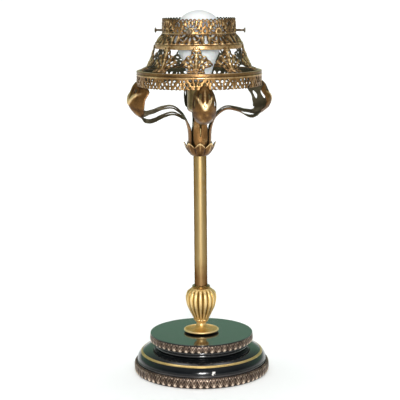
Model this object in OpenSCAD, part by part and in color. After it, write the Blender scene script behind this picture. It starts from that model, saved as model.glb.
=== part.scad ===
// Round table lamp: two-tier black base with chased brass bands, fluted knop and slim column,
// four ribbon arms that carry a pierced brass gallery, and a screw-in bulb inside it.
// Millimetres, +Z up, bottom of the base at z = 0, front at -Y.

/* [Fits] */
// Gap between pieces that are fixed to each other
fit = 0.05; // [0.02:0.01:0.1]
// Radial gap round a shank that turns or slides
run_gap = 0.06; // [0.02:0.01:0.1]
// Radial gap between the bulb cap and the socket thread
thread_gap = 0.4; // [0.3:0.05:0.7]
// Gap filled by braze between an arm and the hub
braze = 0.16; // [0.12:0.01:0.2]

/* [Base] */
// Radius of the lower tier behind its band
plinth_r = 80; // [72:1:100]
// Height of the lower tier
plinth_h = 30; // [27:1:40]
// Height of the foot line under the lower band
foot_h = 1; // [0.6:0.1:3]
// Height of the chased band round the lower tier
low_band_h = 11.4; // [9:0.2:12.4]
// Thickness of both chased bands at their middle
band_t = 3.8; // [2.6:0.1:5]
// Radius of the bead above the lower band
bead_r = 1.3; // [0.8:0.1:1.8]
// Width of the gilt line let into the shoulder
gilt_w = 3.2; // [1.6:0.1:4]
// Depth of the groove for the gilt line
gilt_deep = 1; // [0.6:0.1:1.6]
// Place of the gilt line on the shoulder, degrees up the curve
gilt_at = 41; // [30:1:55]
// Radius of the upper tier behind its band
upper_r = 60.2; // [54:0.2:64]
// Height of the upper tier
upper_h = 18; // [16:0.5:26]
// Height of the two round steps under the upper band
step_h = 4.1; // [3:0.1:5]
// Height of the rim above the upper band
rim_h = 1.2; // [0.8:0.1:2]
// Radius of the hollow under the base
recess_r = 40; // [30:1:50]
// Thickness of wood left above the hollow
recess_roof = 6; // [4:0.5:10]

/* [Cord inlet] */
// Bore of the cord bushing, radius
cord_r = 3.3; // [2.5:0.05:3.6]
// Wall of the cord bushing
bush_t = 1.1; // [0.8:0.1:1.2]
// Length of the cord bushing inside the wood
bush_len = 16; // [10:1:25]
// Depth of the flat seat for its flange below the widest radius
bush_seat = 6; // [5:0.5:10]

/* [Pipe] */
// Radius of the threaded pipe
pipe_r = 5; // [4.5:0.1:5.4]
// Bore of the pipe, radius
pipe_bore = 3.6; // [2.5:0.1:4]
// Width of the nuts across flats
nut_w = 16; // [14:0.5:20]
// Height of the nuts
nut_h = 5; // [4:0.5:7]
// Radius of the washer under the base
washer_r = 16; // [12:1:24]

/* [Stem] */
// Radius of the drip dish
dish_r = 21.7; // [16:0.1:28]
// Height of the dish with its cone
dish_h = 9; // [7.5:0.5:14]
// Height of the neck below the knop
neck_h = 8; // [6.5:0.5:14]
// Largest radius of the fluted knop
knop_r = 19.4; // [15:0.2:26]
// Height of the fluted knop
knop_h = 39; // [30:1:55]
// Ribs round the knop
knop_ribs = 18; // [10:1:24]
// Height of the collar on the knop
collar_h = 3.6; // [2.5:0.1:6]
// Radius of the column tube
column_r = 7.95; // [7.3:0.05:9]
// Wall of the column tube
column_t = 1; // [0.8:0.1:1.4]
// Length of the column tube
column_len = 166.8; // [120:0.4:240]

/* [Calyx and hub] */
// Radius of the calyx at its leaf tips
calyx_r = 18.4; // [16:0.2:24]
// Height of the calyx leaves
calyx_h = 17; // [13:0.5:24]
// Leaves of the calyx
calyx_leaves = 8; // [6:1:12]
// Turn of the calyx against the arms, degrees
calyx_turn = -3; // [-22:1:22]
// How far the calyx reaches down the column
calyx_low = 5; // [3:0.5:9]
// Radius of the hub that the arms are fixed to
hub_r = 9.9; // [9.2:0.1:12]
// Height of the hub
hub_h = 31; // [26:1:40]

/* [Arms] */
// Thickness of the arm leaf
arm_t = 1.3; // [1:0.1:2]
// Largest reach of the arms from the axis
arm_reach = 88.4; // [82:0.2:100]
// Height of the gallery above the hub foot
arm_rise = 80.2; // [74:0.2:100]
// Half width of the arm leaf at its bowl
arm_w = 13.8; // [10:0.2:17]
// Depth of the bowl
arm_cup = 17; // [10:0.5:18]
// Lean of each bent leaf, raising one edge: front, right, back, left
arm_lean = [0, 3.4, 0, -5]; // [-6:0.2:6]
// Twist of each bent bowl, drawing one edge inward: front, right, back, left
arm_twist = [0, -7, 0, 0]; // [-8:0.5:8]

/* [Gallery] */
// Outer radius of the lower band
gal_r = 75.4; // [70:0.2:80]
// Wall of the gallery pieces
gal_t = 1.2; // [1:0.1:1.8]
// Height of the lower band
gal_band_h = 15.8; // [14:0.2:22]
// Height of the rounded shoulder on the lower band
shoulder_h = 3; // [2.4:0.1:5]
// Panels round the lower band
gal_panels = 15; // [10:1:18]
// Turn of the lower gallery against the arms, degrees
gallery_turn = -7.7; // [-20:0.1:20]
// Height of the palmette skirt up to the plain ring
skirt_h = 26.4; // [22:0.2:32]
// Palmettes round the skirt
palmettes_n = 9; // [7:1:10]
// How far neighbouring palmettes run into each other
palmette_lap = 0.4; // [0.2:0.1:0.8]
// Outer radius of the plain ring
mid_r = 53.4; // [50:0.2:58]
// Height of the plain ring
mid_h = 5; // [3.6:0.1:8]
// Height of the upper skirt
upper_skirt_h = 12.2; // [10:0.1:16]
// Outer radius of the fitter ring
fitter_r = 44; // [43.2:0.1:46]
// Height of the fitter ring
fitter_h = 18.4; // [17:0.2:26]
// Motifs round the fitter ring
fitter_motifs = 8; // [4:4:12]

/* [Thumb screws] */
// Turn of the four screws against the arms, degrees
screw_turn = -17.2; // [-40:0.1:40]
// Height of the screws above the foot of the fitter ring
screw_z = 3.9; // [3.8:0.1:10]
// Radius of the screw shank
shank_r = 1.5; // [1.2:0.1:2]
// Length of a screw from its tip to the end of its knob
screw_len = 16; // [15:0.5:20]
// Radius of the knob
knob_r = 3.1; // [2.5:0.1:4]
// Length of the knob
knob_len = 4.5; // [4:0.1:6]
// How far in from the ring the tips stand: front, right, back, left
screw_in = [5, 3.5, 5, 6]; // [1:0.5:8]

/* [Bulb and socket] */
// Radius of the bulb
bulb_r = 30.2; // [28:0.2:33]
// Length of the bulb from its contact to its top
bulb_len = 110; // [104:1:120]
// Radius of the bulb's screw cap
cap_r = 13; // [12.8:0.05:13.2]
// Length of the bulb's screw cap with its insulator
cap_len = 26; // [24:0.5:30]
// Wall of the socket body
socket_t = 0.8; // [0.6:0.1:1.2]
// Height of the dome under the socket
socket_dome_h = 13; // [10:0.5:18]
// Bare pipe between the hub nut and the socket
socket_lift = 6.1; // [4:0.1:14]

/* [Hidden] */
$fn = 96;
hole_r = pipe_r + fit;
z_upper = plinth_h + upper_h;
z_dish = z_upper + dish_h;
z_neck = z_dish + neck_h;
z_knop = z_neck + knop_h;
z_column = z_knop + collar_h;
z_hub = z_column + column_len;
z_hub_top = z_hub + hub_h;
z_hub_nut = z_hub_top + nut_h;
z_socket = z_hub_nut + socket_lift;
z_dome = z_socket + socket_dome_h;
z_band = z_hub + arm_rise;
z_shoulder = z_band + gal_band_h;
z_skirt = z_shoulder + shoulder_h;
z_mid = z_skirt + skirt_h;
z_mid_top = z_mid + mid_h;
z_fitter = z_mid_top + upper_skirt_h;
z_screw = z_fitter + screw_z;
low_band_top = foot_h + low_band_h;
shoulder_r = upper_r - 2.2;
recess_z = plinth_h - recess_roof;
curve_z = low_band_top + 2 * bead_r;
gilt_r = shoulder_r + (plinth_r - shoulder_r) * cos(gilt_at);
gilt_z = curve_z + (plinth_h - curve_z) * sin(gilt_at);
gilt_tilt = atan2((plinth_h - curve_z) * cos(gilt_at), -(plinth_r - shoulder_r) * sin(gilt_at));
gilt_low = gilt_z - gilt_w / 2 * sin(gilt_tilt) + gilt_deep * cos(gilt_tilt);
cord_z = (low_band_top + gilt_low) / 2;
bush_r = cord_r + bush_t;
flange_r = min(bush_r + 1.1, (gilt_low - low_band_top) / 2 - 0.25);
seat_y = plinth_r - bush_seat;
socket_in = cap_r + thread_gap;
socket_r = socket_in + 0.4 + fit + socket_t;
z_tip = z_dome + 5;
z_cap = z_tip + cap_len;
socket_h = z_cap - z_dome - 0.5;
z_ball = z_tip + bulb_len - bulb_r;
boss_r = shank_r + 1.1;
boss_in = fitter_r - gal_t - 0.8;
boss_out = fitter_r + 1.2;

brass = [0.72, 0.55, 0.27];
aged_brass = [0.55, 0.42, 0.22];
black = [0.06, 0.07, 0.07];
steel = [0.35, 0.35, 0.36];
white = [0.95, 0.95, 0.93];

// Points on an arc from angle a0 to a1
function arc(cx, cz, r, a0, a1, n = 10) =
    [for (i = [0:n]) [cx + r * cos(a0 + (a1 - a0) * i / n), cz + r * sin(a0 + (a1 - a0) * i / n)]];

// Points on a quarter ellipse
function oval(cx, cz, a, b, a0, a1, n = 16) =
    [for (i = [0:n]) [cx + a * cos(a0 + (a1 - a0) * i / n), cz + b * sin(a0 + (a1 - a0) * i / n)]];

// Smooth curve through a list of points, at parameter u counted in points
function at(p, i) = p[max(0, min(len(p) - 1, i))];
function spline(p, u) =
    let (i = min(len(p) - 2, floor(u)), f = u - i,
        a = at(p, i - 1), b = at(p, i), c = at(p, i + 1), d = at(p, i + 2))
    0.5 * (2 * b + (c - a) * f + (2 * a - 5 * b + 4 * c - d) * f * f
        + (3 * b - a - 3 * c + d) * f * f * f);

// Upright round wall between two heights
module wall(r, t, z0, z1) {
    translate([0, 0, z0])
        difference() {
            cylinder(r = r, h = z1 - z0);
            translate([0, 0, -1]) cylinder(r = r - t, h = z1 - z0 + 2);
        }
}

// Turned piece from a list of [radius, height] points
module turned(p) {
    rotate_extrude() polygon(p);
}

// Round hole through an upright wall at an angle from the front, at height z
module side_hole(angle, z, r, from, to) {
    rotate([0, 0, angle])
        translate([0, -from, z])
            rotate([90, 0, 0]) cylinder(r = r, h = to - from, $fn = 24);
}

// Prism with a flat outline facing outward at an angle from the front
module side_prism(angle, from, to) {
    rotate([0, 0, angle])
        translate([0, -from, 0])
            rotate([90, 0, 0]) linear_extrude(to - from) children();
}

module hex_nut(z, w, h) {
    translate([0, 0, z])
        difference() {
            rotate([0, 0, 30]) linear_extrude(h) circle(d = w / cos(30), $fn = 6);
            translate([0, 0, -1]) cylinder(r = hole_r, h = h + 2);
        }
}

// Closed sheet from an outer and an inner grid of points; keep marks the cells that stay.
// wrap joins the last column to the first.
module sheet(outer, inner, keep, wrap = false) {
    rows = len(outer) - 1;
    cols = len(keep[0]);
    n = len(outer[0]);
    m = len(outer) * n;
    function o(i, j) = i * n + j % n;
    function k(i, j) = m + i * n + j % n;
    function on(i, j) = i >= 0 && i < rows && (wrap || (j >= 0 && j < cols)) && keep[i][(j + cols) % cols];
    function quad(a, b, c, d) = [[a, b, c], [a, c, d]];
    faces = [for (i = [0:rows - 1]) for (j = [0:cols - 1]) if (on(i, j)) each concat(
        quad(o(i, j), o(i + 1, j), o(i + 1, j + 1), o(i, j + 1)),
        quad(k(i, j), k(i, j + 1), k(i + 1, j + 1), k(i + 1, j)),
        on(i - 1, j) ? [] : quad(o(i, j), o(i, j + 1), k(i, j + 1), k(i, j)),
        on(i + 1, j) ? [] : quad(o(i + 1, j + 1), o(i + 1, j), k(i + 1, j), k(i + 1, j + 1)),
        on(i, j - 1) ? [] : quad(o(i + 1, j), o(i, j), k(i, j), k(i + 1, j)),
        on(i, j + 1) ? [] : quad(o(i, j + 1), o(i + 1, j + 1), k(i + 1, j + 1), k(i, j + 1)))];
    pts = concat([for (row = outer) each row], [for (row = inner) each row]);
    polyhedron(points = pts, faces = faces, convexity = 10);
}

// Black base

module gilt_section(w, d, up) {
    translate([gilt_r, gilt_z]) rotate(gilt_tilt) translate([-w / 2, -up]) square([w, d + up]);
}

module lower_plinth() {
    color(black)
        difference() {
            turned(concat(
                [[recess_r, 0], [plinth_r + band_t / 2, 0], [plinth_r + band_t / 2, foot_h]],
                [[plinth_r - fit, foot_h], [plinth_r - fit, low_band_top]],
                [[plinth_r - bead_r, low_band_top + fit]],
                arc(plinth_r - bead_r, low_band_top + bead_r + fit, bead_r, -90, 60, 8),
                oval(shoulder_r, curve_z, plinth_r - shoulder_r, plinth_h - curve_z, 4, 90),
                [[hole_r, plinth_h], [hole_r, recess_z], [recess_r, recess_z]]));
            rotate_extrude() gilt_section(gilt_w, gilt_deep, 2);
            translate([0, recess_r - 2, cord_z])
                rotate([-90, 0, 0]) cylinder(r = bush_r + fit, h = plinth_r);
            translate([0, seat_y, cord_z])
                rotate([-90, 0, 0]) cylinder(r = flange_r + fit, h = plinth_r);
        }
}

// Chased band: a ring with a softly bulging face
module band(r, z0, h) {
    turned(concat(
        [[r, z0 + fit]],
        oval(r + band_t * 0.45, z0 + h / 2, band_t * 0.55, h / 2 - fit, -90, 90),
        [[r, z0 + h - fit]]));
}

module plinth_band() {
    color(aged_brass) band(plinth_r, foot_h, low_band_h);
}

module gilt_line() {
    color(brass) rotate_extrude() gilt_section(gilt_w - 2 * fit, gilt_deep - fit, 0.15);
}

module upper_plinth() {
    s = step_h / 2;
    z1 = plinth_h + fit;
    band_z = plinth_h + 2 * step_h;
    color(black)
        turned(concat(
            [[hole_r, z1]],
            arc(shoulder_r - s, z1 + s, s, -90, 90),
            arc(upper_r - s, z1 + 3 * s, s, -90, 90),
            [[upper_r - fit, band_z + fit], [upper_r - fit, z_upper - rim_h]],
            arc(upper_r + band_t - 1, z_upper - rim_h / 2, rim_h / 2, -90, 90),
            [[hole_r, z_upper]]));
}

module upper_band() {
    color(aged_brass) band(upper_r, plinth_h + 2 * step_h + fit, upper_h - 2 * step_h - rim_h - fit);
}

module cord_bushing() {
    color(black)
        translate([0, seat_y + fit, cord_z]) rotate([-90, 0, 0])
            difference() {
                union() {
                    translate([0, 0, -bush_len]) cylinder(r = bush_r, h = bush_len + 1);
                    cylinder(r = flange_r, h = 1.5);
                }
                translate([0, 0, -bush_len - 1]) cylinder(r = cord_r, h = bush_len + 4);
            }
}

// Pipe and fixings

module base_washer() {
    color(steel) wall(washer_r, washer_r - hole_r, recess_z - 1.6, recess_z - fit);
}

module base_nut() {
    color(steel) hex_nut(recess_z - 1.6 - nut_h, nut_w, nut_h - fit);
}

module lamp_pipe() {
    color(aged_brass) wall(pipe_r, pipe_r - pipe_bore, recess_z - nut_h - 4, z_socket + 6);
}

// Stem

module foot_dish() {
    z = z_upper + fit;
    c = dish_h;
    color(brass)
        turned(concat(
            [[hole_r, z], [dish_r * 0.58, z], [dish_r * 0.6, z + 0.14 * c], [dish_r * 0.9, z + 0.2 * c]],
            arc(dish_r - 0.7, z + 0.36 * c, 0.7, -60, 130, 8),
            [[dish_r * 0.88, z + 0.31 * c], [dish_r * 0.68, z + 0.3 * c], [dish_r * 0.5, z + 0.45 * c]],
            [[dish_r * 0.37, z + 0.7 * c], [pipe_r + 1.6, z_dish], [hole_r, z_dish]]));
}

module knop_neck() {
    z = z_dish + fit;
    h = neck_h - fit;
    color(brass)
        turned([[hole_r, z], [pipe_r + 1.4, z], [pipe_r + 1, z + 0.3 * h], [pipe_r + 1.5, z + 0.5 * h],
            [pipe_r + 3.2, z + 0.68 * h], [pipe_r + 4.1, z + 0.8 * h], [pipe_r + 3.9, z + 0.9 * h],
            [pipe_r + 3.2, z_neck], [hole_r, z_neck]]);
}

// Outline of the knop as a share of its largest radius, bottom to top
knop_curve = [0.49, 0.585, 0.69, 0.79, 0.885, 0.945, 0.98, 1, 0.97, 0.87, 0.62];

module fluted_knop() {
    rows = 15;
    per = 5;
    n = knop_ribs * per;
    last = len(knop_curve) - 1;
    function rib(j) = abs(sin(180 * (j % per) / per));
    function r(i, j) = knop_r * spline(knop_curve, last * i / rows) * (0.9 + 0.1 * rib(j));
    function z(i) = z_neck + fit + (knop_h - fit) * i / rows;
    pts = [for (i = [0:rows]) for (j = [0:n - 1]) let (a = 360 * j / n - 90)
        [r(i, j) * cos(a), r(i, j) * sin(a), z(i)]];
    faces = concat(
        [[for (j = [0:n - 1]) j]],
        [[for (j = [n - 1:-1:0]) rows * n + j]],
        [for (i = [0:rows - 1]) for (j = [0:n - 1]) let (q = (j + 1) % n)
            each [[i * n + j, (i + 1) * n + j, (i + 1) * n + q],
                [i * n + j, (i + 1) * n + q, i * n + q]]]);
    color(brass)
        difference() {
            polyhedron(points = pts, faces = faces, convexity = 4);
            translate([0, 0, z_neck - 1]) cylinder(r = hole_r, h = knop_h + 2);
        }
}

module knop_collar() {
    z = z_knop + fit;
    h = collar_h - fit;
    color(brass)
        turned(concat(
            [[hole_r, z], [column_r + 2, z]],
            arc(column_r + 1.6, z + h / 2, h / 2 - 0.1, -80, 80, 8),
            [[column_r + 0.8, z_column], [hole_r, z_column]]));
}

module column_tube() {
    color(brass) wall(column_r, column_t, z_column + fit, z_hub);
}

// Bush that centres the tube on the pipe
module tube_bush(z0, z1) {
    r = column_r - column_t - fit;
    color(aged_brass) wall(r, r - hole_r, z0, z1);
}

module tube_bush_low() {
    tube_bush(z_column + fit, z_column + 12);
}

module tube_bush_high() {
    tube_bush(z_hub - 12, z_hub);
}

// Leaf cup under the hub: each leaf bulges and ends in a flared point
module calyx_cup() {
    rows = 7;
    per = 6;
    n = calyx_leaves * per;
    thick = 1.2;
    low = z_hub - calyx_low;
    foot = column_r + 2 * fit + thick;
    function leaf(j) = abs(2 * (j % per) / per - 1);
    function high(j) = 1 - 0.45 * pow(leaf(j), 1.4);
    function cup(s) = foot + (calyx_r - foot) * (0.35 * s + 0.65 * sin(90 * s));
    function pt(i, j, off) = let (
            s = i / rows * high(j),
            r = cup(s) + 0.8 * s * (1 - leaf(j)) - off,
            a = 360 * (j / n) - 90 - 180 / calyx_leaves + calyx_turn)
        [r * cos(a), r * sin(a), low + calyx_h * s];
    outer = [for (i = [0:rows]) [for (j = [0:n - 1]) pt(i, j, 0)]];
    inner = [for (i = [0:rows]) [for (j = [0:n - 1]) pt(i, j, thick)]];
    keep = [for (i = [0:rows - 1]) [for (j = [0:n - 1]) true]];
    color(brass) sheet(outer, inner, keep, true);
}

module arm_hub() {
    set_z = z_hub + 22;
    color(aged_brass)
        difference() {
            turned([[hole_r, z_hub + fit], [hub_r, z_hub + fit], [hub_r, z_hub_top - 2],
                [hub_r - 1.5, z_hub_top], [hole_r, z_hub_top]]);
            side_hole(45, set_z, 1.5 + fit, pipe_r, hub_r + 2);
        }
}

// Slotted grub screw that locks the hub on the pipe
module hub_set_screw() {
    color(brass)
        rotate([0, 0, 45])
            translate([0, -pipe_r - fit, z_hub + 22]) rotate([90, 0, 0])
                difference() {
                    union() {
                        cylinder(r = 1.5, h = hub_r - pipe_r + 0.6);
                        translate([0, 0, hub_r - pipe_r]) cylinder(r = 2.1, h = 1);
                    }
                    translate([-3, -0.3, hub_r - pipe_r + 0.5]) cube([6, 0.6, 2]);
                }
}

module hub_nut() {
    color(aged_brass) hex_nut(z_hub_top + fit, nut_w, nut_h - fit);
}

// Ribbon arms

// Middle line of an arm as [radius, height], from the hub foot to the band
arm_root = hub_r + arm_t / 2 + braze;
arm_tip = gal_r + arm_t / 2 + fit;
arm_span = arm_reach - arm_t / 2 - arm_root;
arm_shape = [[0, 0.02], [0, 0.206], [0.012, 0.348], [0.06, 0.491], [0.16, 0.588], [0.285, 0.633],
    [0.455, 0.603], [0.61, 0.537], [0.75, 0.506], [0.885, 0.557], [0.985, 0.679], [1, 0.816], [0.955, 0.938]];
arm_line = concat(
    [for (p = arm_shape) [arm_root + arm_span * p[0], z_hub + arm_rise * p[1]]],
    [[arm_tip + 0.28 * (arm_reach - arm_tip), z_band + 0.6], [arm_tip, z_band + 5]]);
// Half width and bowl depth along that line; the foot wraps the hub
arm_foot = 5.8;
arm_wrap = arm_root - sqrt(arm_root * arm_root - arm_foot * arm_foot);
arm_half = concat([arm_foot, arm_foot, 6, 6.8, 8.2, 9.6, 11.4, 12.8],
    [for (p = [1, 1, 1, 0.96, 0.88, 0.64, 0.3]) p * arm_w]);
arm_bowl = concat([for (p = [1, 1, 0.95, 0.65, 0.3, 0.22, 0.3]) p * arm_wrap],
    [for (p = [0.1, 0.28, 0.55, 0.85, 1, 1, 0.45, 0.02]) p * arm_cup]);
arm_gap = [0.5, 0.5, 0.7, 1.6, 3.4, 5.2, 7.2, 8.2, 8.4];
arm_rows = 42;

// Edges of the nine strips across half an arm, from the middle outward
function arm_edge(u, e) =
    let (w = spline(arm_half, u), g = spline(arm_gap, min(u, 8)), curl = max(0, min(1, u - 9)),
        lens = u > 10.8 && u < 13.2 ? sin(180 * (u - 10.8) / 2.4) : 0,
        g1 = (1 - curl) * 0.5 * g + curl * w * (0.4 - 0.09 * lens),
        g2 = (1 - curl) * g + curl * w * (0.45 + 0.09 * lens))
    [0, g1, g2, g2 + 0.36 * (w - g2), g2 + 0.64 * (w - g2), w][e];

module arm(side) {
    last = len(arm_line) - 1;
    steps = [-5, -4, -3, -2, -1, 1, 2, 3, 4, 5];
    function u(i) = last * i / arm_rows;
    function sway(u) = u < 3 || u > 13 ? 0 : pow(sin(180 * (u - 3) / 10), 0.7);
    function turn(u) = max(0, min(1, (u - 8) / 2.5)) * min(1, 14 - u);
    function step(i) = spline(arm_line, min(last, u(i) + 0.05)) - spline(arm_line, max(0, u(i) - 0.05));
    function dir(i) = step(i) / norm(step(i));
    function pt(i, s, off) = let (
            p = spline(arm_line, u(i)), d = dir(i), n = [d[1], -d[0]], into = n[1] < 0 ? n : [1, 0],
            w = spline(arm_half, u(i)), v = sign(s) * arm_edge(u(i), abs(s)), q = v / w,
            c = spline(arm_bowl, u(i)), slope = 2 * c * q / w, k = off / sqrt(1 + slope * slope),
            m = p - c * q * q * into + k * n + [arm_twist[side] * q * turn(u(i)), 0])
        [v + k * slope, -m[0], m[1] + arm_lean[side] * q * sway(u(i))];
    outer = [for (i = [0:arm_rows]) [for (s = steps) pt(i, s, arm_t / 2)]];
    inner = [for (i = [0:arm_rows]) [for (s = steps) pt(i, s, -arm_t / 2)]];
    // Long gap between the ribbons, slit in each ribbon, slots in the leaf and its rounded top
    function open(i, j) = let (v = u(i + 0.5), k = abs(j - 4))
        (k < 2 && v > 1.2 && v < 8.1) || (k == 3 && v > 3.4 && v < 6.2)
        || (k == 3 && v > 10.6 && v < 11.6) || (k == 1 && v > 10.9 && v < 12.4)
        || (k == 2 && v > 12.8) || (k == 3 && v > 12.4) || (k == 4 && v > 12);
    keep = [for (i = [0:arm_rows - 1]) [for (j = [0:8]) !open(i, j)]];
    color(aged_brass) rotate([0, 0, 90 * side]) sheet(outer, inner, keep);
}

module arm_front() {
    arm(0);
}

module arm_right() {
    arm(1);
}

module arm_back() {
    arm(2);
}

module arm_left() {
    arm(3);
}

// Gallery

module gallery_band() {
    pitch = 360 / gal_panels;
    mm = 180 / (PI * gal_r);
    mid_z = z_band + 0.5 * gal_band_h - 1.5;
    edge = 0.13 * gal_band_h;
    color(aged_brass)
        difference() {
            wall(gal_r, gal_t, z_band, z_shoulder);
            for (i = [0:gal_panels - 1])
                for (p = [[0, 0.28, 1.8], [-5.4, 0.2, 1.6], [5.4, 0.2, 1.6], [-7.4, -0.08, 1.5],
                        [7.4, -0.08, 1.5], [-2.9, -0.02, 1.2], [2.9, -0.02, 1.2], [0, -0.24, 1.1]])
                    side_hole(pitch * i + p[0] * mm + gallery_turn, mid_z + p[1] * gal_band_h, p[2],
                        gal_r - 4, gal_r + 4);
            for (i = [0:2 * gal_panels - 1])
                side_hole(pitch * (i / 2 + 0.25) + gallery_turn, z_band - 0.4 * edge, edge,
                    gal_r - 4, gal_r + 4);
        }
}

module gallery_shoulder() {
    z = z_shoulder + fit;
    h = shoulder_h - fit;
    color(aged_brass)
        turned(concat(
            oval(gal_r - 4, z, 4, h, 0, 90, 10),
            [[gal_r - 5.4, z_skirt], [gal_r - 5.4, z_skirt - gal_t]],
            oval(gal_r - 4, z, 4 - gal_t, h - gal_t, 90, 0, 10)));
}

// Outline of one palmette: foot, side lobes, shoulders and head, with pierced eyes
palmette_half = [[0.44, -0.07], [0.44, 0.18], [0.82, 0.22], [0.86, 0.32], [0.7, 0.5], [0.52, 0.66],
    [0.26, 0.69], [0.27, 0.84], [0.1, 0.92]];
palmette_lobes = [[0.8, 0.28, 0.12], [0.54, 0.58, 0.1], [0.2, 0.77, 0.1]];
palmette_eyes = [[0.58, 0.32, 0.09], [0.28, 0.33, 0.08], [0.27, 0.55, 0.075], [0.11, 0.8, 0.055],
    [0.22, 0.08, 0.075]];
palmette_h = skirt_h + 0.75 * mid_h;
// Profile of the skirt: knee above the shoulder, waist half way up, and the radius at the widest lobes
skirt_in = mid_r + fit;
knee_r = mid_r + 0.41 * (gal_r - mid_r);
knee_h = 0.19 * skirt_h;
waist_r = 0.5 * (skirt_in + knee_r);
waist_h = 0.5 * skirt_h;
lobe_h = palmette_lobes[0][1] * palmette_h;
lobe_r = knee_r + (waist_r - knee_r) * (lobe_h - knee_h + gal_t) / (waist_h - knee_h + gal_t);
lobe_reach = palmette_lobes[0][0] + palmette_lobes[0][2];
palmette_w = (lobe_r * sin(180 / palmettes_n) + palmette_lap) / lobe_reach;

module palmette_face() {
    w = palmette_w;
    h = palmette_h;
    last = len(palmette_half) - 1;
    translate([0, z_skirt])
        difference() {
            union() {
                polygon(concat([for (p = palmette_half) [p[0] * w, p[1] * h]], [[0, h]],
                    [for (i = [last:-1:0]) [-palmette_half[i][0] * w, palmette_half[i][1] * h]]));
                for (s = [-1, 1])
                    for (p = palmette_lobes)
                        translate([s * p[0] * w, p[1] * h]) circle(r = p[2] * w, $fn = 24);
                translate([0, 0.96 * h]) circle(r = 0.09 * w, $fn = 24);
            }
            for (s = [-1, 1])
                for (p = palmette_eyes)
                    translate([s * p[0] * w, p[1] * h]) circle(r = p[2] * w, $fn = 24);
        }
}

module palmette_skirt() {
    z = z_skirt + fit;
    lip = gal_r - 4.6;
    knee = z + knee_h;
    waist = [waist_r, z + waist_h];
    color(aged_brass)
        intersection() {
            turned([[lip, z], [knee_r, knee - gal_t], waist, [skirt_in, z_mid], [skirt_in, z_mid_top],
                [skirt_in + gal_t, z_mid_top], [skirt_in + gal_t, z_mid + 0.3], waist + [gal_t, 0.4],
                [knee_r + 0.9, knee], [lip, z + gal_t]]);
            union()
                for (i = [0:palmettes_n - 1])
                    side_prism(360 / palmettes_n * i + gallery_turn, mid_r - 4, gal_r + 2) palmette_face();
        }
}

module mid_ring() {
    color(aged_brass) wall(mid_r, gal_t + 0.4, z_mid, z_mid_top);
}

module upper_skirt() {
    z = z_mid_top + fit;
    top = z_fitter;
    w = 3.2;
    color(aged_brass)
        difference() {
            turned([[mid_r - gal_t - 0.3, z], [mid_r - 0.3, z], [fitter_r + 0.6, top],
                [fitter_r + 0.6 - gal_t, top]]);
            for (i = [0:fitter_motifs - 1]) {
                turn = 360 / fitter_motifs * (i + 0.5) + screw_turn;
                side_prism(turn, fitter_r - 8, mid_r + 4)
                    union() {
                        translate([0, z + 0.28 * upper_skirt_h]) circle(r = 0.8 * w, $fn = 24);
                        translate([-0.4 * w, z + 0.28 * upper_skirt_h])
                            square([0.8 * w, 0.58 * upper_skirt_h]);
                    }
                for (s = [-1, 1])
                    side_hole(turn + s * 12, z + 0.45 * upper_skirt_h, 0.17 * upper_skirt_h,
                        fitter_r - 8, mid_r + 4);
            }
        }
}

module fitter_ring() {
    pitch = 360 / fitter_motifs;
    mm = 180 / (PI * fitter_r);
    eye = 0.085 * fitter_h;
    color(aged_brass)
        difference() {
            wall(fitter_r, gal_t, z_fitter + fit, z_fitter + fitter_h);
            for (i = [0:fitter_motifs - 1]) {
                turn = pitch * i + screw_turn;
                for (p = [[-7.4, 0.26], [7.4, 0.26], [-5.6, 0.56], [5.6, 0.56], [-9.6, 0.78], [9.6, 0.78],
                        [0, 0.7]])
                    side_hole(turn + p[0] * mm, z_fitter + p[1] * fitter_h, eye, fitter_r - 4, fitter_r + 4);
                for (k = [0:3])
                    side_hole(turn + pitch * (k + 0.5) / 4, z_fitter + fitter_h + 0.6, 2,
                        fitter_r - 4, fitter_r + 4);
            }
            for (i = [0:3])
                side_hole(90 * i + screw_turn, z_screw, boss_r + fit, fitter_r - 4, fitter_r + 4);
        }
}

// Tapped bosses brazed into the fitter ring
module screw_bosses() {
    color(aged_brass)
        for (i = [0:3])
            rotate([0, 0, 90 * i + screw_turn])
                translate([0, -boss_in, z_screw]) rotate([90, 0, 0])
                    difference() {
                        cylinder(r = boss_r, h = boss_out - boss_in, $fn = 48);
                        translate([0, 0, -1])
                            cylinder(r = shank_r + run_gap, h = boss_out - boss_in + 2, $fn = 48);
                    }
}

// Places a piece along thumb screw i, z running outward from its tip
module on_screw(i) {
    rotate([0, 0, 90 * i + screw_turn])
        translate([0, -(fitter_r - screw_in[i]), z_screw]) rotate([90, 0, 0]) children();
}

module thumb_shank(i) {
    color(steel)
        on_screw(i)
            union() {
                cylinder(r1 = shank_r * 0.5, r2 = shank_r, h = 1.2, $fn = 48);
                translate([0, 0, 1.2]) cylinder(r = shank_r, h = screw_len - 2.4, $fn = 48);
            }
}

module thumb_knob(i) {
    z = screw_len - knob_len;
    hole = shank_r + run_gap;
    color(steel)
        on_screw(i)
            rotate_extrude($fn = 48)
                polygon([[hole, z], [hole + 0.6, z], [hole + 0.7, z + 0.45 * knob_len],
                    [knob_r - 0.3, z + 0.7 * knob_len], [knob_r, z + 0.78 * knob_len],
                    [knob_r, z + 0.9 * knob_len], [knob_r - 0.4, screw_len],
                    [0, screw_len], [0, screw_len - 0.9], [hole, screw_len - 0.9]]);
}

module thumb_shank_front() {
    thumb_shank(0);
}

module thumb_shank_right() {
    thumb_shank(1);
}

module thumb_shank_back() {
    thumb_shank(2);
}

module thumb_shank_left() {
    thumb_shank(3);
}

module thumb_knob_front() {
    thumb_knob(0);
}

module thumb_knob_right() {
    thumb_knob(1);
}

module thumb_knob_back() {
    thumb_knob(2);
}

module thumb_knob_left() {
    thumb_knob(3);
}

// Socket

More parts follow.
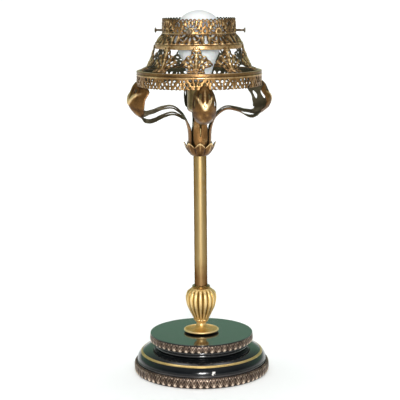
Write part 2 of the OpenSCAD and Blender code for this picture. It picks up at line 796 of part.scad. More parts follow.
module socket_dome() {
    z = z_socket + fit;
    h = socket_dome_h - fit;
    color(brass)
        turned([[hole_r, z], [pipe_r + 2.4, z], [pipe_r + 2.4, z + 0.35 * h], [0.7 * socket_r, z + 0.6 * h],
            [0.93 * socket_r, z + 0.78 * h], [socket_r, z_dome], [socket_r - 1.2, z_dome],
            [0.86 * socket_r, z + 0.84 * h], [0.62 * socket_r, z + 0.68 * h], [hole_r, z + 0.46 * h]]);
}

module socket_body() {
    color(brass) wall(socket_r, socket_t, z_dome + fit, z_dome + socket_h);
}

module socket_insulator() {
    color(white) wall(socket_in + 0.4, socket_in - 3, z_dome + fit, z_dome + 3);
}

// Screw shell standing on the insulator
module socket_thread() {
    r = socket_in + 0.4;
    z = z_dome + 3 + fit;
    color(brass)
        turned([[socket_in - 4, z], [r, z], [r, z_dome + socket_h - 2], [socket_in, z_dome + socket_h - 2],
            [socket_in, z + 0.5], [socket_in - 4, z + 0.5]]);
}

module socket_contact() {
    color(brass) translate([0, 0, z_dome + 1.2]) cylinder(r = 3.3, h = z_tip - z_dome - 1.2 - 0.3);
}

// Bulb

module bulb_contact() {
    color(steel) translate([0, 0, z_tip]) cylinder(r1 = 3.6, r2 = 4.6, h = 1.4);
}

module bulb_insulator() {
    color(black) translate([0, 0, z_tip + 1.4 + fit]) cylinder(r1 = 4.8, r2 = 0.75 * cap_r, h = 2.6 - fit);
}

module bulb_cap() {
    z = z_tip + 4 + fit;
    color(steel)
        turned([[0, z], [0.75 * cap_r, z], [cap_r, z + 2.5], [cap_r, z_cap], [cap_r - 0.5, z_cap],
            [cap_r - 0.5, z + 3], [0.7 * cap_r, z + 0.6], [0, z + 0.6]]);
}

// Pear outline of the bulb, drawn in by off for the inner face
neck_r = cap_r - 0.2;
flank_r = bulb_r * cos(asin(0.42));
flank_z = z_ball - 0.42 * bulb_r;
function swell(f) = 0.62 * f + 0.38 * f * f * f * (3 - 2 * f);
function pear(off) = concat(
    [for (k = [0:8]) let (f = k / 8, z0 = z_cap + fit)
        [neck_r + (flank_r - neck_r) * swell(f) - off, z0 + (flank_z - z0) * f]],
    arc(0, z_ball, bulb_r - off, -22, 90, 20));

module bulb_glass() {
    outer = pear(0);
    inner = pear(0.8);
    n = len(inner) - 1;
    color(white) turned(concat(outer, [for (i = [n:-1:0]) inner[i]]));
}

lower_plinth();
plinth_band();
gilt_line();
upper_plinth();
upper_band();
cord_bushing();
base_washer();
base_nut();
lamp_pipe();
foot_dish();
knop_neck();
fluted_knop();
knop_collar();
column_tube();
tube_bush_low();
tube_bush_high();
calyx_cup();
arm_hub();
hub_set_screw();
hub_nut();
arm_front();
arm_right();
arm_back();
arm_left();
gallery_band();
gallery_shoulder();
palmette_skirt();
mid_ring();
upper_skirt();
fitter_ring();
screw_bosses();
thumb_shank_front();
thumb_shank_right();
thumb_shank_back();
thumb_shank_left();
thumb_knob_front();
thumb_knob_right();
thumb_knob_back();
thumb_knob_left();
socket_dome();
socket_body();
socket_insulator();
socket_thread();
socket_contact();
bulb_contact();
bulb_insulator();
bulb_cap();
bulb_glass();
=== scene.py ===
import math

import bpy
import numpy as np
from mathutils import Matrix, Vector

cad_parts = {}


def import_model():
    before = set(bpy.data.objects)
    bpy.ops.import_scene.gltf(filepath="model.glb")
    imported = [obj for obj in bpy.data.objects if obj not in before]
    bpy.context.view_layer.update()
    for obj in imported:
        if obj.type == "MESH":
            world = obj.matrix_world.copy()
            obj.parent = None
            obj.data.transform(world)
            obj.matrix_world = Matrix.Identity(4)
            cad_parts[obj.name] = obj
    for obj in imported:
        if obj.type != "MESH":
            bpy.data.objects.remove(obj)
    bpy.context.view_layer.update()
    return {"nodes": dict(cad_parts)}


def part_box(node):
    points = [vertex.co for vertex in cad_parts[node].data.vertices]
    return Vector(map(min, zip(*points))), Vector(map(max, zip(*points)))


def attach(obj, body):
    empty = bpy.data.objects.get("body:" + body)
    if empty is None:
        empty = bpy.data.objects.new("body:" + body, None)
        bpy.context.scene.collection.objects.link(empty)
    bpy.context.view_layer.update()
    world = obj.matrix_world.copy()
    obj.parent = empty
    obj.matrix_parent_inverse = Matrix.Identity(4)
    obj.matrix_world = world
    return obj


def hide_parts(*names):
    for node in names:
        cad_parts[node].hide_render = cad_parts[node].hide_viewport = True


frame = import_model()

MM = 0.001
SIDES = ["front", "right", "back", "left"]


# Sizes read from the frame, in millimetres

def span(node):
    """Outer radius, lowest level and highest level of a round node."""
    lo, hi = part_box(node)
    return max(hi.x, -lo.x) / MM, lo.z / MM, hi.z / MM


BASE_R, FLOOR_Z, PLINTH_TOP = span("lower_plinth")
LOW_BAND_R, LOW_BAND_Z0, LOW_BAND_Z1 = span("plinth_band")
UP_BAND_R, UP_BAND_Z0, UP_BAND_Z1 = span("upper_band")
RIM_R, _, UPPER_TOP = span("upper_plinth")
DISH_R, DISH_Z0, DISH_Z1 = span("foot_dish")
_, NECK_Z0, NECK_Z1 = span("knop_neck")
KNOP_R, KNOP_Z0, KNOP_Z1 = span("fluted_knop")
COLLAR_R, COLLAR_Z0, COLLAR_Z1 = span("knop_collar")
COLUMN_R, COLUMN_Z0, HUB_Z = span("column_tube")
CALYX_R, CALYX_Z0, CALYX_Z1 = span("calyx_cup")
HUB_R, _, _ = span("arm_hub")
GALLERY_R, BAND_Z0, BAND_Z1 = span("gallery_band")
_, SHOULDER_Z0, SHOULDER_Z1 = span("gallery_shoulder")
MID_R, MID_Z0, MID_Z1 = span("mid_ring")
FITTER_R, FITTER_Z0, FITTER_Z1 = span("fitter_ring")
PIPE_R, _, _ = span("lamp_pipe")
BULB_R, BULB_Z0, BULB_Z1 = span("bulb_glass")
CAP_R, CAP_Z0, CAP_Z1 = span("bulb_cap")

# Sizes that the frame does not give, in millimetres: room between pieces, the bands round the base, sheet
# brass, the rounded rise of a sheet's face, and the grid that sheets are cut on
CLEAR = 0.05
BAND_THICK = 3.8
SHEET = 1.2
PILLOW = 0.55
GRID = 0.6
HOLE_R = PIPE_R + CLEAR

# What repeats round the lamp, and how far the first of each stands to the right of the front
LOW_TONGUES, UP_TONGUES = 66, 50
NECK_LEAVES, KNOP_RIBS, CALYX_LEAVES = 12, 18, 8
PANELS, PALMETTES, MOTIFS = 15, 9, 8
KNOP_TURN, CALYX_TURN, GALLERY_TURN, SCREW_TURN = (math.radians(a) for a in (-7, -3, -7.7, -17.2))

# Worn spots and their reach, in metres: the chip on the base and pale flecks on the column
CHIP = ((0.0078, -0.0800, 0.0180), 0.003)
FLECKS = (((0.0040, -0.0068, 0.2425), 0.0028),
          ((0.0046, -0.0064, 0.2315), 0.0019),
          ((0.0043, -0.0066, 0.2215), 0.0016))


# Curves

def arc(cx, cz, rx, rz, start, end, count):
    """Points on an elliptic arc, angles in degrees."""
    a = np.radians(np.linspace(start, end, count))
    return np.column_stack([cx + rx * np.cos(a), cz + rz * np.sin(a)])


def circle(steps):
    """Angles once round."""
    return np.linspace(0, 2 * math.pi, steps, endpoint=False)


def spline(points, u):
    """Smooth curve through the points, at parameters u counted in points."""
    p = np.asarray(points, float)
    i = np.clip(np.floor(u).astype(int), 0, len(p) - 2)
    f = u - i if p.ndim == 1 else (u - i)[:, None]
    a, b, c, d = (p[np.clip(i + k, 0, len(p) - 1)] for k in (-1, 0, 1, 2))
    square, cube = 2 * a - 5 * b + 4 * c - d, 3 * b - a - 3 * c + d
    return 0.5 * (2 * b + (c - a) * f + square * f ** 2 + cube * f ** 3)


def smooth(points, count):
    """count points along the smooth curve through the points."""
    return spline(points, np.linspace(0, len(points) - 1, count))


def levels(outline, z0, z1):
    """Outline given as radii and shares of a height, as radii and levels."""
    return [[r, z0 + (z1 - z0) * share] for r, share in outline]


def rounded(points, radius, count):
    """Closed outline with every corner rounded, over less than half of each side."""
    p = np.asarray(points, float)
    t = np.linspace(0, 1, count)[:, None]
    out = []
    for before, corner, after in zip(np.roll(p, 1, 0), p, np.roll(p, -1, 0)):
        sides = before - corner, after - corner
        a, b = (corner + side * min(radius / np.linalg.norm(side), 0.45) for side in sides)
        out.append((1 - t) ** 2 * a + 2 * t * (1 - t) * corner + t ** 2 * b)
    return np.vstack(out)


def run_along(profile):
    """Distance of each point of a profile from its start."""
    return np.concatenate([[0], np.cumsum(np.linalg.norm(np.diff(profile, axis=0), axis=1))])


def part_way(x, low, high):
    """Share of the way from low to high, 0 before it and 1 after it."""
    return np.clip((x - low) / (high - low), 0, 1)


def ease(x, low, high):
    """Smooth step from 0 at low to 1 at high."""
    t = part_way(x, low, high)
    return t * t * (3 - 2 * t)


def hump(x, low, high):
    """Half a sine wave from low to high, 0 beyond."""
    return np.sin(math.pi * part_way(x, low, high))


def window(x, low, full, fade, end):
    """Smooth rise from low to full and fall from fade to end."""
    return ease(x, low, full) * (1 - ease(x, fade, end))


def bell(x, width):
    """Bell curve, 1 at 0."""
    return np.exp(-(x / width) ** 2)


# Meshes

def grid_faces(rows, cols, wrap=False):
    """Quads of a grid of points stored row by row; columns close round, and rows too where they wrap."""
    i, j = np.meshgrid(np.arange(rows if wrap else rows - 1), np.arange(cols), indexing="ij")
    up, right = (i + 1) % rows, (j + 1) % cols
    quads = np.stack([i * cols + j, i * cols + right, up * cols + right, up * cols + j], -1)
    return quads.reshape(-1, 4).tolist()


def capped_faces(rows, cols):
    """Quads of such a grid and the two faces that close its ends."""
    ring = list(range(cols))
    return grid_faces(rows, cols) + [ring[::-1], [(rows - 1) * cols + k for k in ring]]


def turn_round(radius, angle, height):
    """Points round the axis; angle 0 is the front and grows to the right."""
    return np.stack(np.broadcast_arrays(radius * np.sin(angle), -radius * np.cos(angle), height), -1)


def add_object(name, data):
    """Object in the scene."""
    obj = bpy.data.objects.new(name, data)
    bpy.context.scene.collection.objects.link(obj)
    return obj


def add_mesh(name, points, faces):
    """Mesh object from points in millimetres."""
    mesh = bpy.data.meshes.new(name)
    mesh.from_pydata((np.asarray(points) * MM).tolist(), [], faces)
    return add_object(name, mesh)


def piece(node, way, points, faces, material, slot, body="lamp", crease=40, **masks):
    """Mesh piece that rides on a body and stands for a CAD node, named after it and the way it is made."""
    obj = add_mesh(f"{node}_{way}", points, faces)
    mesh = obj.data
    mesh.validate()
    mesh.shade_smooth()
    mesh.set_sharp_from_angle(angle=math.radians(crease))
    for key, values in masks.items():
        values = np.asarray(values, np.float32)
        mesh.attributes.new(key, "FLOAT", "POINT").data.foreach_set("value", values)
    mesh.materials.append(material)
    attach(obj, body)
    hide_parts(node)
    return obj


def firm(rows, long_run=1.5, near_end=0.3):
    """Adds rows near both ends of a closed section's long straight runs, so that flat faces shade flat."""
    closed = np.vstack([rows, rows[:1]])
    length = np.linalg.norm(np.diff(closed[:, :2], axis=0), axis=1)
    runs = np.flatnonzero(length > long_run)
    near = near_end / length[runs]
    where = np.sort(np.concatenate([np.arange(len(rows)), runs + near, runs + 1 - near]))
    return np.column_stack([np.interp(where, np.arange(len(closed)), column) for column in closed.T])


def lathe(node, way, section, steps, material, slot, body="lamp", relief=None, crease=40, **tones):
    """Closed section turned round the axis; tones are masks by row, or by point where there is a relief."""
    section = np.asarray(section, float)
    tones = {key: np.ravel(values) for key, values in tones.items()}
    if relief is None:
        rows = firm(np.column_stack([section, *(np.resize(row, len(section)) for row in tones.values())]))
        section = rows[:, :2]
        tones = {key: np.repeat(row, steps) for key, row in zip(tones, rows.T[2:])}
        relief = np.zeros((len(section), steps))
    along = np.roll(section, -1, 0) - np.roll(section, 1, 0)
    along /= np.maximum(np.linalg.norm(along, axis=1, keepdims=True), 1e-9)
    r, z = section[:, :1] + relief * along[:, 1:], section[:, 1:] - relief * along[:, :1]
    points = turn_round(r, circle(steps)[None, :], z).reshape(-1, 3)
    faces = grid_faces(len(section), steps, True)
    return piece(node, way, points, faces, material, slot, body, crease, **tones)


# Sheets cut along the zero line of a field: corners c0 to c3 and edge crossings e0 to e3 of each cell
CELL_FACES = {
    1: ["c0 e0 e3"], 2: ["c1 e1 e0"], 3: ["c0 c1 e1 e3"], 4: ["c2 e2 e1"], 5: ["c0 e0 e3", "c2 e2 e1"],
    6: ["c1 c2 e2 e0"], 7: ["c0 c1 c2 e2 e3"], 8: ["c3 e3 e2"], 9: ["c0 e0 e2 c3"],
    10: ["c1 e1 e0", "c3 e3 e2"], 11: ["c0 c1 e1 e2 c3"], 12: ["c2 c3 e3 e1"], 13: ["c0 e0 e1 c2 c3"],
    14: ["c1 c2 c3 e3 e0"], 15: ["c0 c1 c2 c3"]}


def cut_grid(field, wrap):
    """Points in grid units, faces and directed rim edges of the part where the field is positive."""
    inside = field > 0
    count = int(inside.sum())
    corner = np.full(field.shape, -1)
    corner[inside] = np.arange(count)
    points = [np.argwhere(inside).astype(float)]
    crossing = []
    for axis in (0, 1):
        other = np.roll(field, -1, axis)
        crossed = inside != (other > 0)
        if axis == 1:
            crossed[:, -1] = False
        elif not wrap:
            crossed[-1] = False
        where = np.argwhere(crossed).astype(float)
        where[:, axis] += np.clip(field[crossed] / (field[crossed] - other[crossed]), 0.1, 0.9)
        index = np.full(field.shape, -1)
        index[crossed] = count + np.arange(len(where))
        count += len(where)
        points.append(where)
        crossing.append(index)
    right = np.roll(np.arange(len(field)), -1)
    cols = len(field) if wrap else len(field) - 1
    low, high = slice(None, -1), slice(1, None)
    along, upward = crossing
    names = {"c0": corner[:, low], "c1": corner[right, low], "c2": corner[right, high], "c3": corner[:, high],
             "e0": along[:, low], "e1": upward[right, low], "e2": along[:, high], "e3": upward[:, low]}
    case = sum((names[f"c{k}"] >= 0) * 2 ** k for k in range(4))[:cols]
    faces, rims = [], []
    for number, shapes in CELL_FACES.items():
        chosen = case == number
        for shape in shapes:
            ring = shape.split()
            loop = np.column_stack([names[n][:cols][chosen] for n in ring])
            faces += loop.tolist()
            for k, n in enumerate(ring):
                after = (k + 1) % len(ring)
                if n[0] == "e" and ring[after][0] == "e":
                    rims += loop[:, [k, after]].tolist()
    return np.vstack(points), faces, rims


def sample(grid, points):
    """Values of a grid at points that lie on its lines; the first direction wraps."""
    low, high = np.floor(points).astype(int), np.ceil(points).astype(int)
    f = (points - low).max(axis=1)
    return grid[low[:, 0], low[:, 1]] * (1 - f) + grid[high[:, 0] % len(grid), high[:, 1]] * f


def closed_sheet(node, way, outer, inner, faces, rims, height, inner_height, material, slot, crease):
    """Outer and inner points of a sheet with the same faces, closed along its rims."""
    n = len(outer)
    back = [[k + n for k in reversed(f)] for f in faces]
    walls = [[b, a, a + n, b + n] for a, b in rims]
    # Inner faces take the inner height and the inner mask, which paint them darker as shade.
    height = np.concatenate([height, np.full(n, inner_height)])
    piece(node, way, np.vstack([outer, inner]), faces + back + walls, material, slot, crease=crease,
          height=height, inner=np.repeat([0, 1], n))


def cut_sheet(node, way, field, relief, place, wrap, thick, material, slot):
    """Sheet with the holes and edges of the field, rounded and raised outside by the relief, flat inside."""
    points, faces, rims = cut_grid(field, wrap)
    raised = sample(relief, points)
    pillow = np.sqrt(1 - (1 - np.clip(sample(field, points), 0, 1)) ** 2)
    outer = place(points, (PILLOW + raised) * pillow)
    inner = place(points, np.full(len(points), -thick))
    # Height mask: raised relief and strand crowns painted lighter as highlight, hole edges painted darker as
    # shade; inner faces get a low, shaded value.
    height = np.clip(0.05 + 0.4 * pillow + 0.62 * raised, 0, 1)
    closed_sheet(node, way, outer, inner, faces, rims, height, 0.3, material, slot, 55)


# Pattern fields in millimetres, positive inside the shape

def lens(x, y, cx, cy, lean, length, width):
    """Pointed oval; lean turns its long axis from upright to the right, in degrees."""
    a = math.radians(lean)
    along = (x - cx) * math.sin(a) + (y - cy) * math.cos(a)
    across = (x - cx) * math.cos(a) - (y - cy) * math.sin(a)
    share = np.clip(2 * along / length, -1, 1)
    beyond = np.abs(along) - length / 2
    return np.where(beyond < 0, width / 2 * (1 - share ** 2) - np.abs(across), -np.hypot(beyond, across))


def disc(x, y, cx, cy, radius):
    """Round hole."""
    return radius - np.hypot(x - cx, y - cy)


def daisy(x, y, cx, cy, leans, near, far, width):
    """Petal holes that radiate from a centre."""
    reach = (near + far) / 2
    return [lens(x, y, cx + reach * math.sin(a), cy + reach * math.cos(a), math.degrees(a), far - near, width)
            for a in np.radians(leans)]


def pierce(field, *holes):
    """Field with the holes taken out."""
    for hole in holes:
        field = np.minimum(field, -hole)
    return field


def pairs(shape, x, y, *holes):
    """Each hole on the right and its mirror on the left."""
    out = []
    for cx, cy, *rest in holes:
        out.append(shape(x, y, cx, cy, *rest))
        mirror = [-rest[0], *rest[1:]] if shape is lens else rest
        out.append(shape(x, y, -cx, cy, *mirror))
    return out


def repeat(columns, count):
    """Share of a motif from -0.5 to 0.5 for each column, motif 0 in the middle of column 0."""
    return (np.arange(columns) * count / columns + 0.5) % 1 - 0.5


def from_middle(columns, count):
    """Row of shares for each column, 0 in the middle of a motif and 1 at its edges."""
    return np.abs(2 * repeat(columns, count))[None, :]


# Materials

class Nodes:
    """Small helper that adds nodes to a tree; each call gives back what the node puts out."""

    def __init__(self, tree, coords):
        self.tree = tree
        self.coords = self.add("TexCoord", coords)

    def add(self, kind, output, inputs=(), **settings):
        node = self.tree.nodes.new("ShaderNode" + kind)
        for key, value in settings.items():
            setattr(node, key, value)
        for key, value in dict(inputs).items():
            self.put(node.inputs[key], value)
        return node.outputs[output]

    def put(self, socket, value):
        if isinstance(value, bpy.types.NodeSocket):
            self.tree.links.new(value, socket)
        else:
            socket.default_value = (*value, 1) if socket.type == "RGBA" else value

    def noise(self, scale, detail, rough, stretch=None):
        settings = {"Vector": self.coords, "Scale": scale, "Detail": detail, "Roughness": rough}
        if stretch:
            settings["Vector"] = self.add("Mapping", "Vector", {"Vector": self.coords, "Scale": stretch})
        return self.add("TexNoise", "Fac", settings)

    def math(self, operation, a, b):
        return self.add("Math", 0, {0: a, 1: b}, operation=operation)

    def sum(self, a, share_a, b, share_b):
        return self.math("ADD", self.math("MULTIPLY", a, share_a), self.math("MULTIPLY", b, share_b))

    def fit(self, value, low, high, to_low, to_high):
        limits = {"From Min": low, "From Max": high, "To Min": to_low, "To Max": to_high}
        return self.add("MapRange", "Result", {"Value": value, **limits})

    def mix(self, factor, a, b):
        return self.add("Mix", "Result", {"Factor": factor, "A": a, "B": b}, data_type="RGBA")

    def ramp(self, factor, *stops):
        output = self.add("ValToRGB", "Color", {"Fac": factor})
        elements = output.node.color_ramp.elements
        while len(elements) < len(stops):
            elements.new(0.5)
        for element, (place, colour) in zip(elements, stops):
            element.position = place
            element.color = (*colour, 1)
        return output


class Surface(Nodes):
    """Material with the nodes of its surface."""

    def __init__(self, name):
        self.material = bpy.data.materials.new(name)
        self.material.use_nodes = True
        super().__init__(self.material.node_tree, "Object")

    def set(self, **values):
        for key, value in values.items():
            self.put(self.tree.nodes["Principled BSDF"].inputs[key.replace("_", " ")], value)

    def mask(self, name):
        return self.add("Attribute", "Fac", attribute_name=name)

    def bump(self, height, strength, distance):
        settings = {"Height": height, "Strength": strength, "Distance": distance}
        self.set(Normal=self.add("Bump", "Normal", settings))

    def near(self, point, reach):
        """1 at a point of the object and 0 beyond its reach, in metres, with a ragged edge."""
        away = self.add("VectorMath", "Value", {0: self.coords, 1: point}, operation="DISTANCE")
        ragged = self.math("MULTIPLY", self.noise(500, 3, 0.7), 3.4 * reach)
        return self.fit(self.math("ADD", away, ragged), 2.35 * reach, 2.5 * reach, 1, 0)


def brass(name, high, middle, low, rough, metal=1.0, masked=True, inner=None, patch=70, grain=500,
          stretch=None, dent=0.0, film=None, flecks=()):
    """Aged brass with tarnish, grain, dents and an old film; the height mask paints highlight on the heights
    and shade in the recesses, and the inner mask paints inner faces a dull dark olive as shade.
    """
    s = Surface(name)
    patches = s.noise(patch, 5, 0.62)
    fine = s.noise(grain, 3, 0.6, stretch)
    wear = s.sum(patches, 0.75, fine, 0.35)
    # Tone from the height mask: painted highlight where it is high, painted shade where it is low.
    tone = s.math("ADD", s.math("SUBTRACT", wear, 0.55), s.mask("height") if masked else 0.55)
    colour = s.ramp(tone, (0.12, low), (0.5, middle), (0.88, high))
    # Inner faces painted a dull dark olive, as painted shade.
    if inner:
        inner_shade = s.ramp(patches, (0.3, tuple(0.55 * c for c in inner)), (0.7, inner))
        colour = s.mix(s.mask("inner"), colour, inner_shade)
    for point, reach in flecks:
        colour = s.mix(s.near(point, reach), colour, (0.9, 0.86, 0.78))
    s.set(Base_Color=colour, Metallic=metal, Roughness=s.fit(wear, 0.35, 0.75, rough[1], rough[0]))
    if film:
        s.set(Coat_Weight=1.0, Coat_Roughness=0.5, Coat_IOR=1.03, Coat_Tint=film)
    if dent:
        s.bump(s.sum(fine, 1, s.noise(230, 2, 0.5), dent), 0.3, 0.0006)
    else:
        s.bump(fine, 0.12, 0.0003)
    return s.material


def lacquer(name, gloss):
    """Glossy black lacquer over a softer ground, with edges greyed partly by wear and partly as painted
    sheen, faint waves, dust and one old chip.
    """
    s = Surface(name)
    clouds = s.noise(45, 5, 0.65)
    grey = s.ramp(s.noise(900, 2, 0.7), (0.66, (0.006, 0.007, 0.008)), (0.8, (0.05, 0.052, 0.055)))
    colour = s.mix(s.fit(clouds, 0.35, 0.75, 0.0, 1.0), (0.004, 0.005, 0.006), grey)
    # Greyed edges: partly wear, partly painted sheen where the mouldings catch the light.
    rubbed_and_sheen = s.math("MULTIPLY", s.mask("worn"), s.fit(clouds, 0.3, 0.6, 0.45, 1.0))
    colour = s.mix(rubbed_and_sheen, colour, (0.055, 0.051, 0.05))
    colour = s.mix(s.near(*CHIP), colour, (0.8, 0.77, 0.72))
    s.set(Base_Color=colour, Metallic=0.0, Roughness=s.fit(clouds, 0.35, 0.7, 0.14, 0.24), IOR=1.35,
          Coat_Weight=gloss, Coat_Roughness=0.04, Coat_IOR=1.5)
    s.bump(s.noise(18, 3, 0.5), 0.05, 0.002)
    return s.material


def plain(name, dark, pale, rough, metal, grain, cloud, streaks):
    """Plain metal, plastic or ceramic in clouds of two tones, with a fine grain that streaks the metal."""
    s = Surface(name)
    fine, clouds = s.noise(*grain), s.noise(*cloud)
    tone = s.sum(fine, streaks, clouds, 1 - streaks)
    s.set(Base_Color=s.ramp(tone, (0.3, dark), (0.7, pale)), Metallic=metal,
          Roughness=s.fit(clouds, 0.3, 0.7, *rough))
    s.bump(fine, 0.1, 0.0002)
    return s.material


def frosted(name):
    """White bulb glass, frosted inside."""
    s = Surface(name)
    cloud = s.noise(40, 3, 0.5)
    s.set(Base_Color=s.ramp(cloud, (0.3, (0.8, 0.76, 0.75)), (0.7, (0.85, 0.81, 0.8))), Metallic=0.0,
          Roughness=s.fit(cloud, 0.3, 0.7, 0.46, 0.56), IOR=1.4, Subsurface_Weight=0.15,
          Subsurface_Scale=0.01, Coat_Weight=1.0, Coat_Roughness=0.4, Coat_IOR=1.05,
          Coat_Tint=(0.94, 0.94, 0.945))
    s.bump(cloud, 0.02, 0.001)
    return s.material


POLISHED = brass("polished_brass", (0.80, 0.56, 0.22), (0.50, 0.30, 0.085), (0.10, 0.045, 0.012), (0.2, 0.36),
                 patch=55)
GILDED = brass("gilded_brass", (0.95, 0.71, 0.34), (0.58, 0.35, 0.09), (0.11, 0.05, 0.007), (0.4, 0.53), 0.75,
               patch=55)
SATIN = brass("satin_brass", (1.0, 0.94, 0.74), (0.84, 0.72, 0.48), (0.36, 0.18, 0.09), (0.33, 0.43),
              patch=28, grain=300, stretch=(1, 1, 0.12), film=(0.46, 0.37, 0.24), flecks=FLECKS)
CHASED = brass("chased_brass", (0.95, 0.77, 0.60), (0.17, 0.11, 0.075), (0.012, 0.008, 0.007), (0.24, 0.38),
               0.7, patch=120, dent=0.8)
GILT = brass("gilding", (0.74, 0.55, 0.25), (0.50, 0.35, 0.13), (0.17, 0.1, 0.035), (0.34, 0.5), 0.8,
             masked=False, patch=90)
# The inner colours of leaf and aged brass are painted shade on the inner faces.
LEAF = brass("leaf_brass", (0.76, 0.54, 0.27), (0.22, 0.105, 0.03), (0.045, 0.02, 0.008), (0.28, 0.44), 0.8,
             inner=(0.115, 0.095, 0.055), patch=60, dent=0.7)
AGED = brass("aged_brass", (0.80, 0.57, 0.29), (0.27, 0.145, 0.05), (0.035, 0.019, 0.008), (0.26, 0.42), 0.8,
             inner=(0.09, 0.08, 0.045), patch=80, dent=0.6)
PLAIN = brass("plain_brass", (0.42, 0.32, 0.14), (0.24, 0.17, 0.07), (0.08, 0.05, 0.02), (0.3, 0.5),
              masked=False)
LACQUER = lacquer("black_lacquer", 0.8)
RUBBED_LACQUER = lacquer("rubbed_black_lacquer", 0.35)
METAL = {"metal": 1.0, "grain": (900, 3, 0.6), "cloud": (160, 4, 0.6), "streaks": 0.5}
MOULDED = {"metal": 0.0, "grain": (1500, 2, 0.5), "cloud": (90, 3, 0.5), "streaks": 0}
DARK_STEEL = plain("dark_steel", (0.05, 0.038, 0.026), (0.25, 0.185, 0.12), (0.25, 0.42), **METAL)
PLAIN_STEEL = plain("plain_steel", (0.3, 0.3, 0.3), (0.5, 0.5, 0.49), (0.3, 0.5), **METAL)
BULB_CAP = plain("bulb_cap_metal", (0.55, 0.55, 0.54), (0.75, 0.75, 0.73), (0.25, 0.4), **METAL)
BLACK_PLASTIC = plain("black_plastic", (0.012, 0.012, 0.012), (0.03, 0.03, 0.03), (0.4, 0.55), **MOULDED)
INSULATOR = plain("white_insulator", (0.7, 0.68, 0.62), (0.82, 0.8, 0.76), (0.4, 0.6), **MOULDED)
FROSTED = frosted("frosted_glass")

# CAD nodes that show as they are
for material, nodes in (
        (PLAIN, ("lamp_pipe", "tube_bush_low", "tube_bush_high", "arm_hub", "hub_set_screw", "hub_nut",
                 "screw_bosses", "socket_dome", "socket_body", "socket_thread", "socket_contact")),
        (PLAIN_STEEL, ("base_washer", "base_nut", "bulb_contact")),
        (BLACK_PLASTIC, ("cord_bushing", "bulb_insulator")),
        (INSULATOR, ("socket_insulator",))):
    for node in nodes:
        slots = frame["nodes"][node].data.materials
        slots.clear()
        slots.append(material)


# Base

PLINTH_R = LOW_BAND_R - BAND_THICK
UPPER_R = UP_BAND_R - BAND_THICK
SHOULDER_R = UPPER_R - 2.2
BEAD = 1.3
STEP = 2.05
RIM = 0.6
CURVE_Z = LOW_BAND_Z1 + CLEAR + 2 * BEAD
FOOT_T = 1
HOLLOW_R, HOLLOW_TOP_R, HOLLOW_Z = 40, 39.5, 24
CORD_R, CORD_Y0, CORD_Y1 = 4.45, 38, 90
FLANGE_DEPTH = 1.55
GILT_AT = math.radians(41)
GILT_W, GILT_RISE, GILT_DEPTH = 3.1, 0.35, 0.8


def cut_away(obj, cutter):
    """Takes a cutter out of a piece for good."""
    change = obj.modifiers.new("cut", "BOOLEAN")
    change.operation = "DIFFERENCE"
    change.solver = "EXACT"
    change.object = cutter
    dressed = obj.evaluated_get(bpy.context.evaluated_depsgraph_get())
    mesh = bpy.data.meshes.new_from_object(dressed)
    obj.modifiers.clear()
    obj.data = mesh
    bpy.data.objects.remove(cutter)
    mesh.shade_smooth()
    mesh.set_sharp_from_angle(angle=math.radians(35))


def rod(radius, y0, y1, z, steps=48):
    """Closed round bar along Y, for cutting."""
    a = circle(steps)
    ring = np.column_stack([radius * np.sin(a), np.zeros(steps), z + radius * np.cos(a)])
    points = np.vstack([ring + [0, y0, 0], ring + [0, y1, 0]])
    return add_mesh("cutter", points, capped_faces(2, steps))


def lower_plinth():
    """Lower tier: a bead and a round shoulder over the band, hollow below and bored for the cord."""
    foot = [[HOLLOW_R, FLOOR_Z], [BASE_R, FLOOR_Z], [BASE_R, FOOT_T], [PLINTH_R, FOOT_T],
            [PLINTH_R, LOW_BAND_Z1]]
    bead = arc(PLINTH_R - BEAD, LOW_BAND_Z1 + BEAD + CLEAR, BEAD, BEAD, -90, 62, 12)
    shoulder = arc(SHOULDER_R, CURVE_Z, PLINTH_R - SHOULDER_R, PLINTH_TOP - CURVE_Z, 4, 89, 44)
    inside = [[HOLE_R, PLINTH_TOP], [HOLE_R, HOLLOW_Z], [HOLLOW_TOP_R, HOLLOW_Z]]
    section = np.vstack([foot, bead, shoulder, inside])
    # The bead is greyed, partly as wear and partly as painted sheen.
    worn = np.zeros(len(section))
    worn[len(foot):len(foot) + len(bead)] = 1
    plinth = lathe("lower_plinth", "turned", section, 256, RUBBED_LACQUER, "black_lacquer",
                   crease=30, worn=worn)
    lo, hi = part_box("cord_bushing")
    cord_z = (lo.z + hi.z) / 2 / MM
    flange_r = (hi.z - lo.z) / 2 / MM + CLEAR
    cut_away(plinth, rod(CORD_R, CORD_Y0, CORD_Y1, cord_z))
    cut_away(plinth, rod(flange_r, hi.y / MM - FLANGE_DEPTH, CORD_Y1, cord_z))


def upper_plinth():
    """Upper tier: two round steps under the band and a thin rim over it."""
    z = PLINTH_TOP + CLEAR
    low_step = arc(SHOULDER_R - STEP, z + STEP, STEP, STEP, -90, 88, 16)
    high_step = arc(UPPER_R - STEP, z + 3 * STEP, STEP, STEP, -88, 90, 16)
    wall = [[UPPER_R, UP_BAND_Z0], [UPPER_R, UPPER_TOP - 2 * RIM]]
    rim = arc(RIM_R - RIM, UPPER_TOP - RIM, RIM, RIM, -90, 90, 8)
    section = np.vstack([[[HOLE_R, z]], low_step, high_step, wall, rim, [[HOLE_R, UPPER_TOP]]])
    # The two steps are greyed a little, partly as wear and partly as painted sheen.
    worn = np.zeros(len(section))
    worn[[*range(7, 13), *range(21, 27)]] = 0.3
    lathe("upper_plinth", "turned", section, 256, LACQUER, "black_lacquer", crease=30, worn=worn)


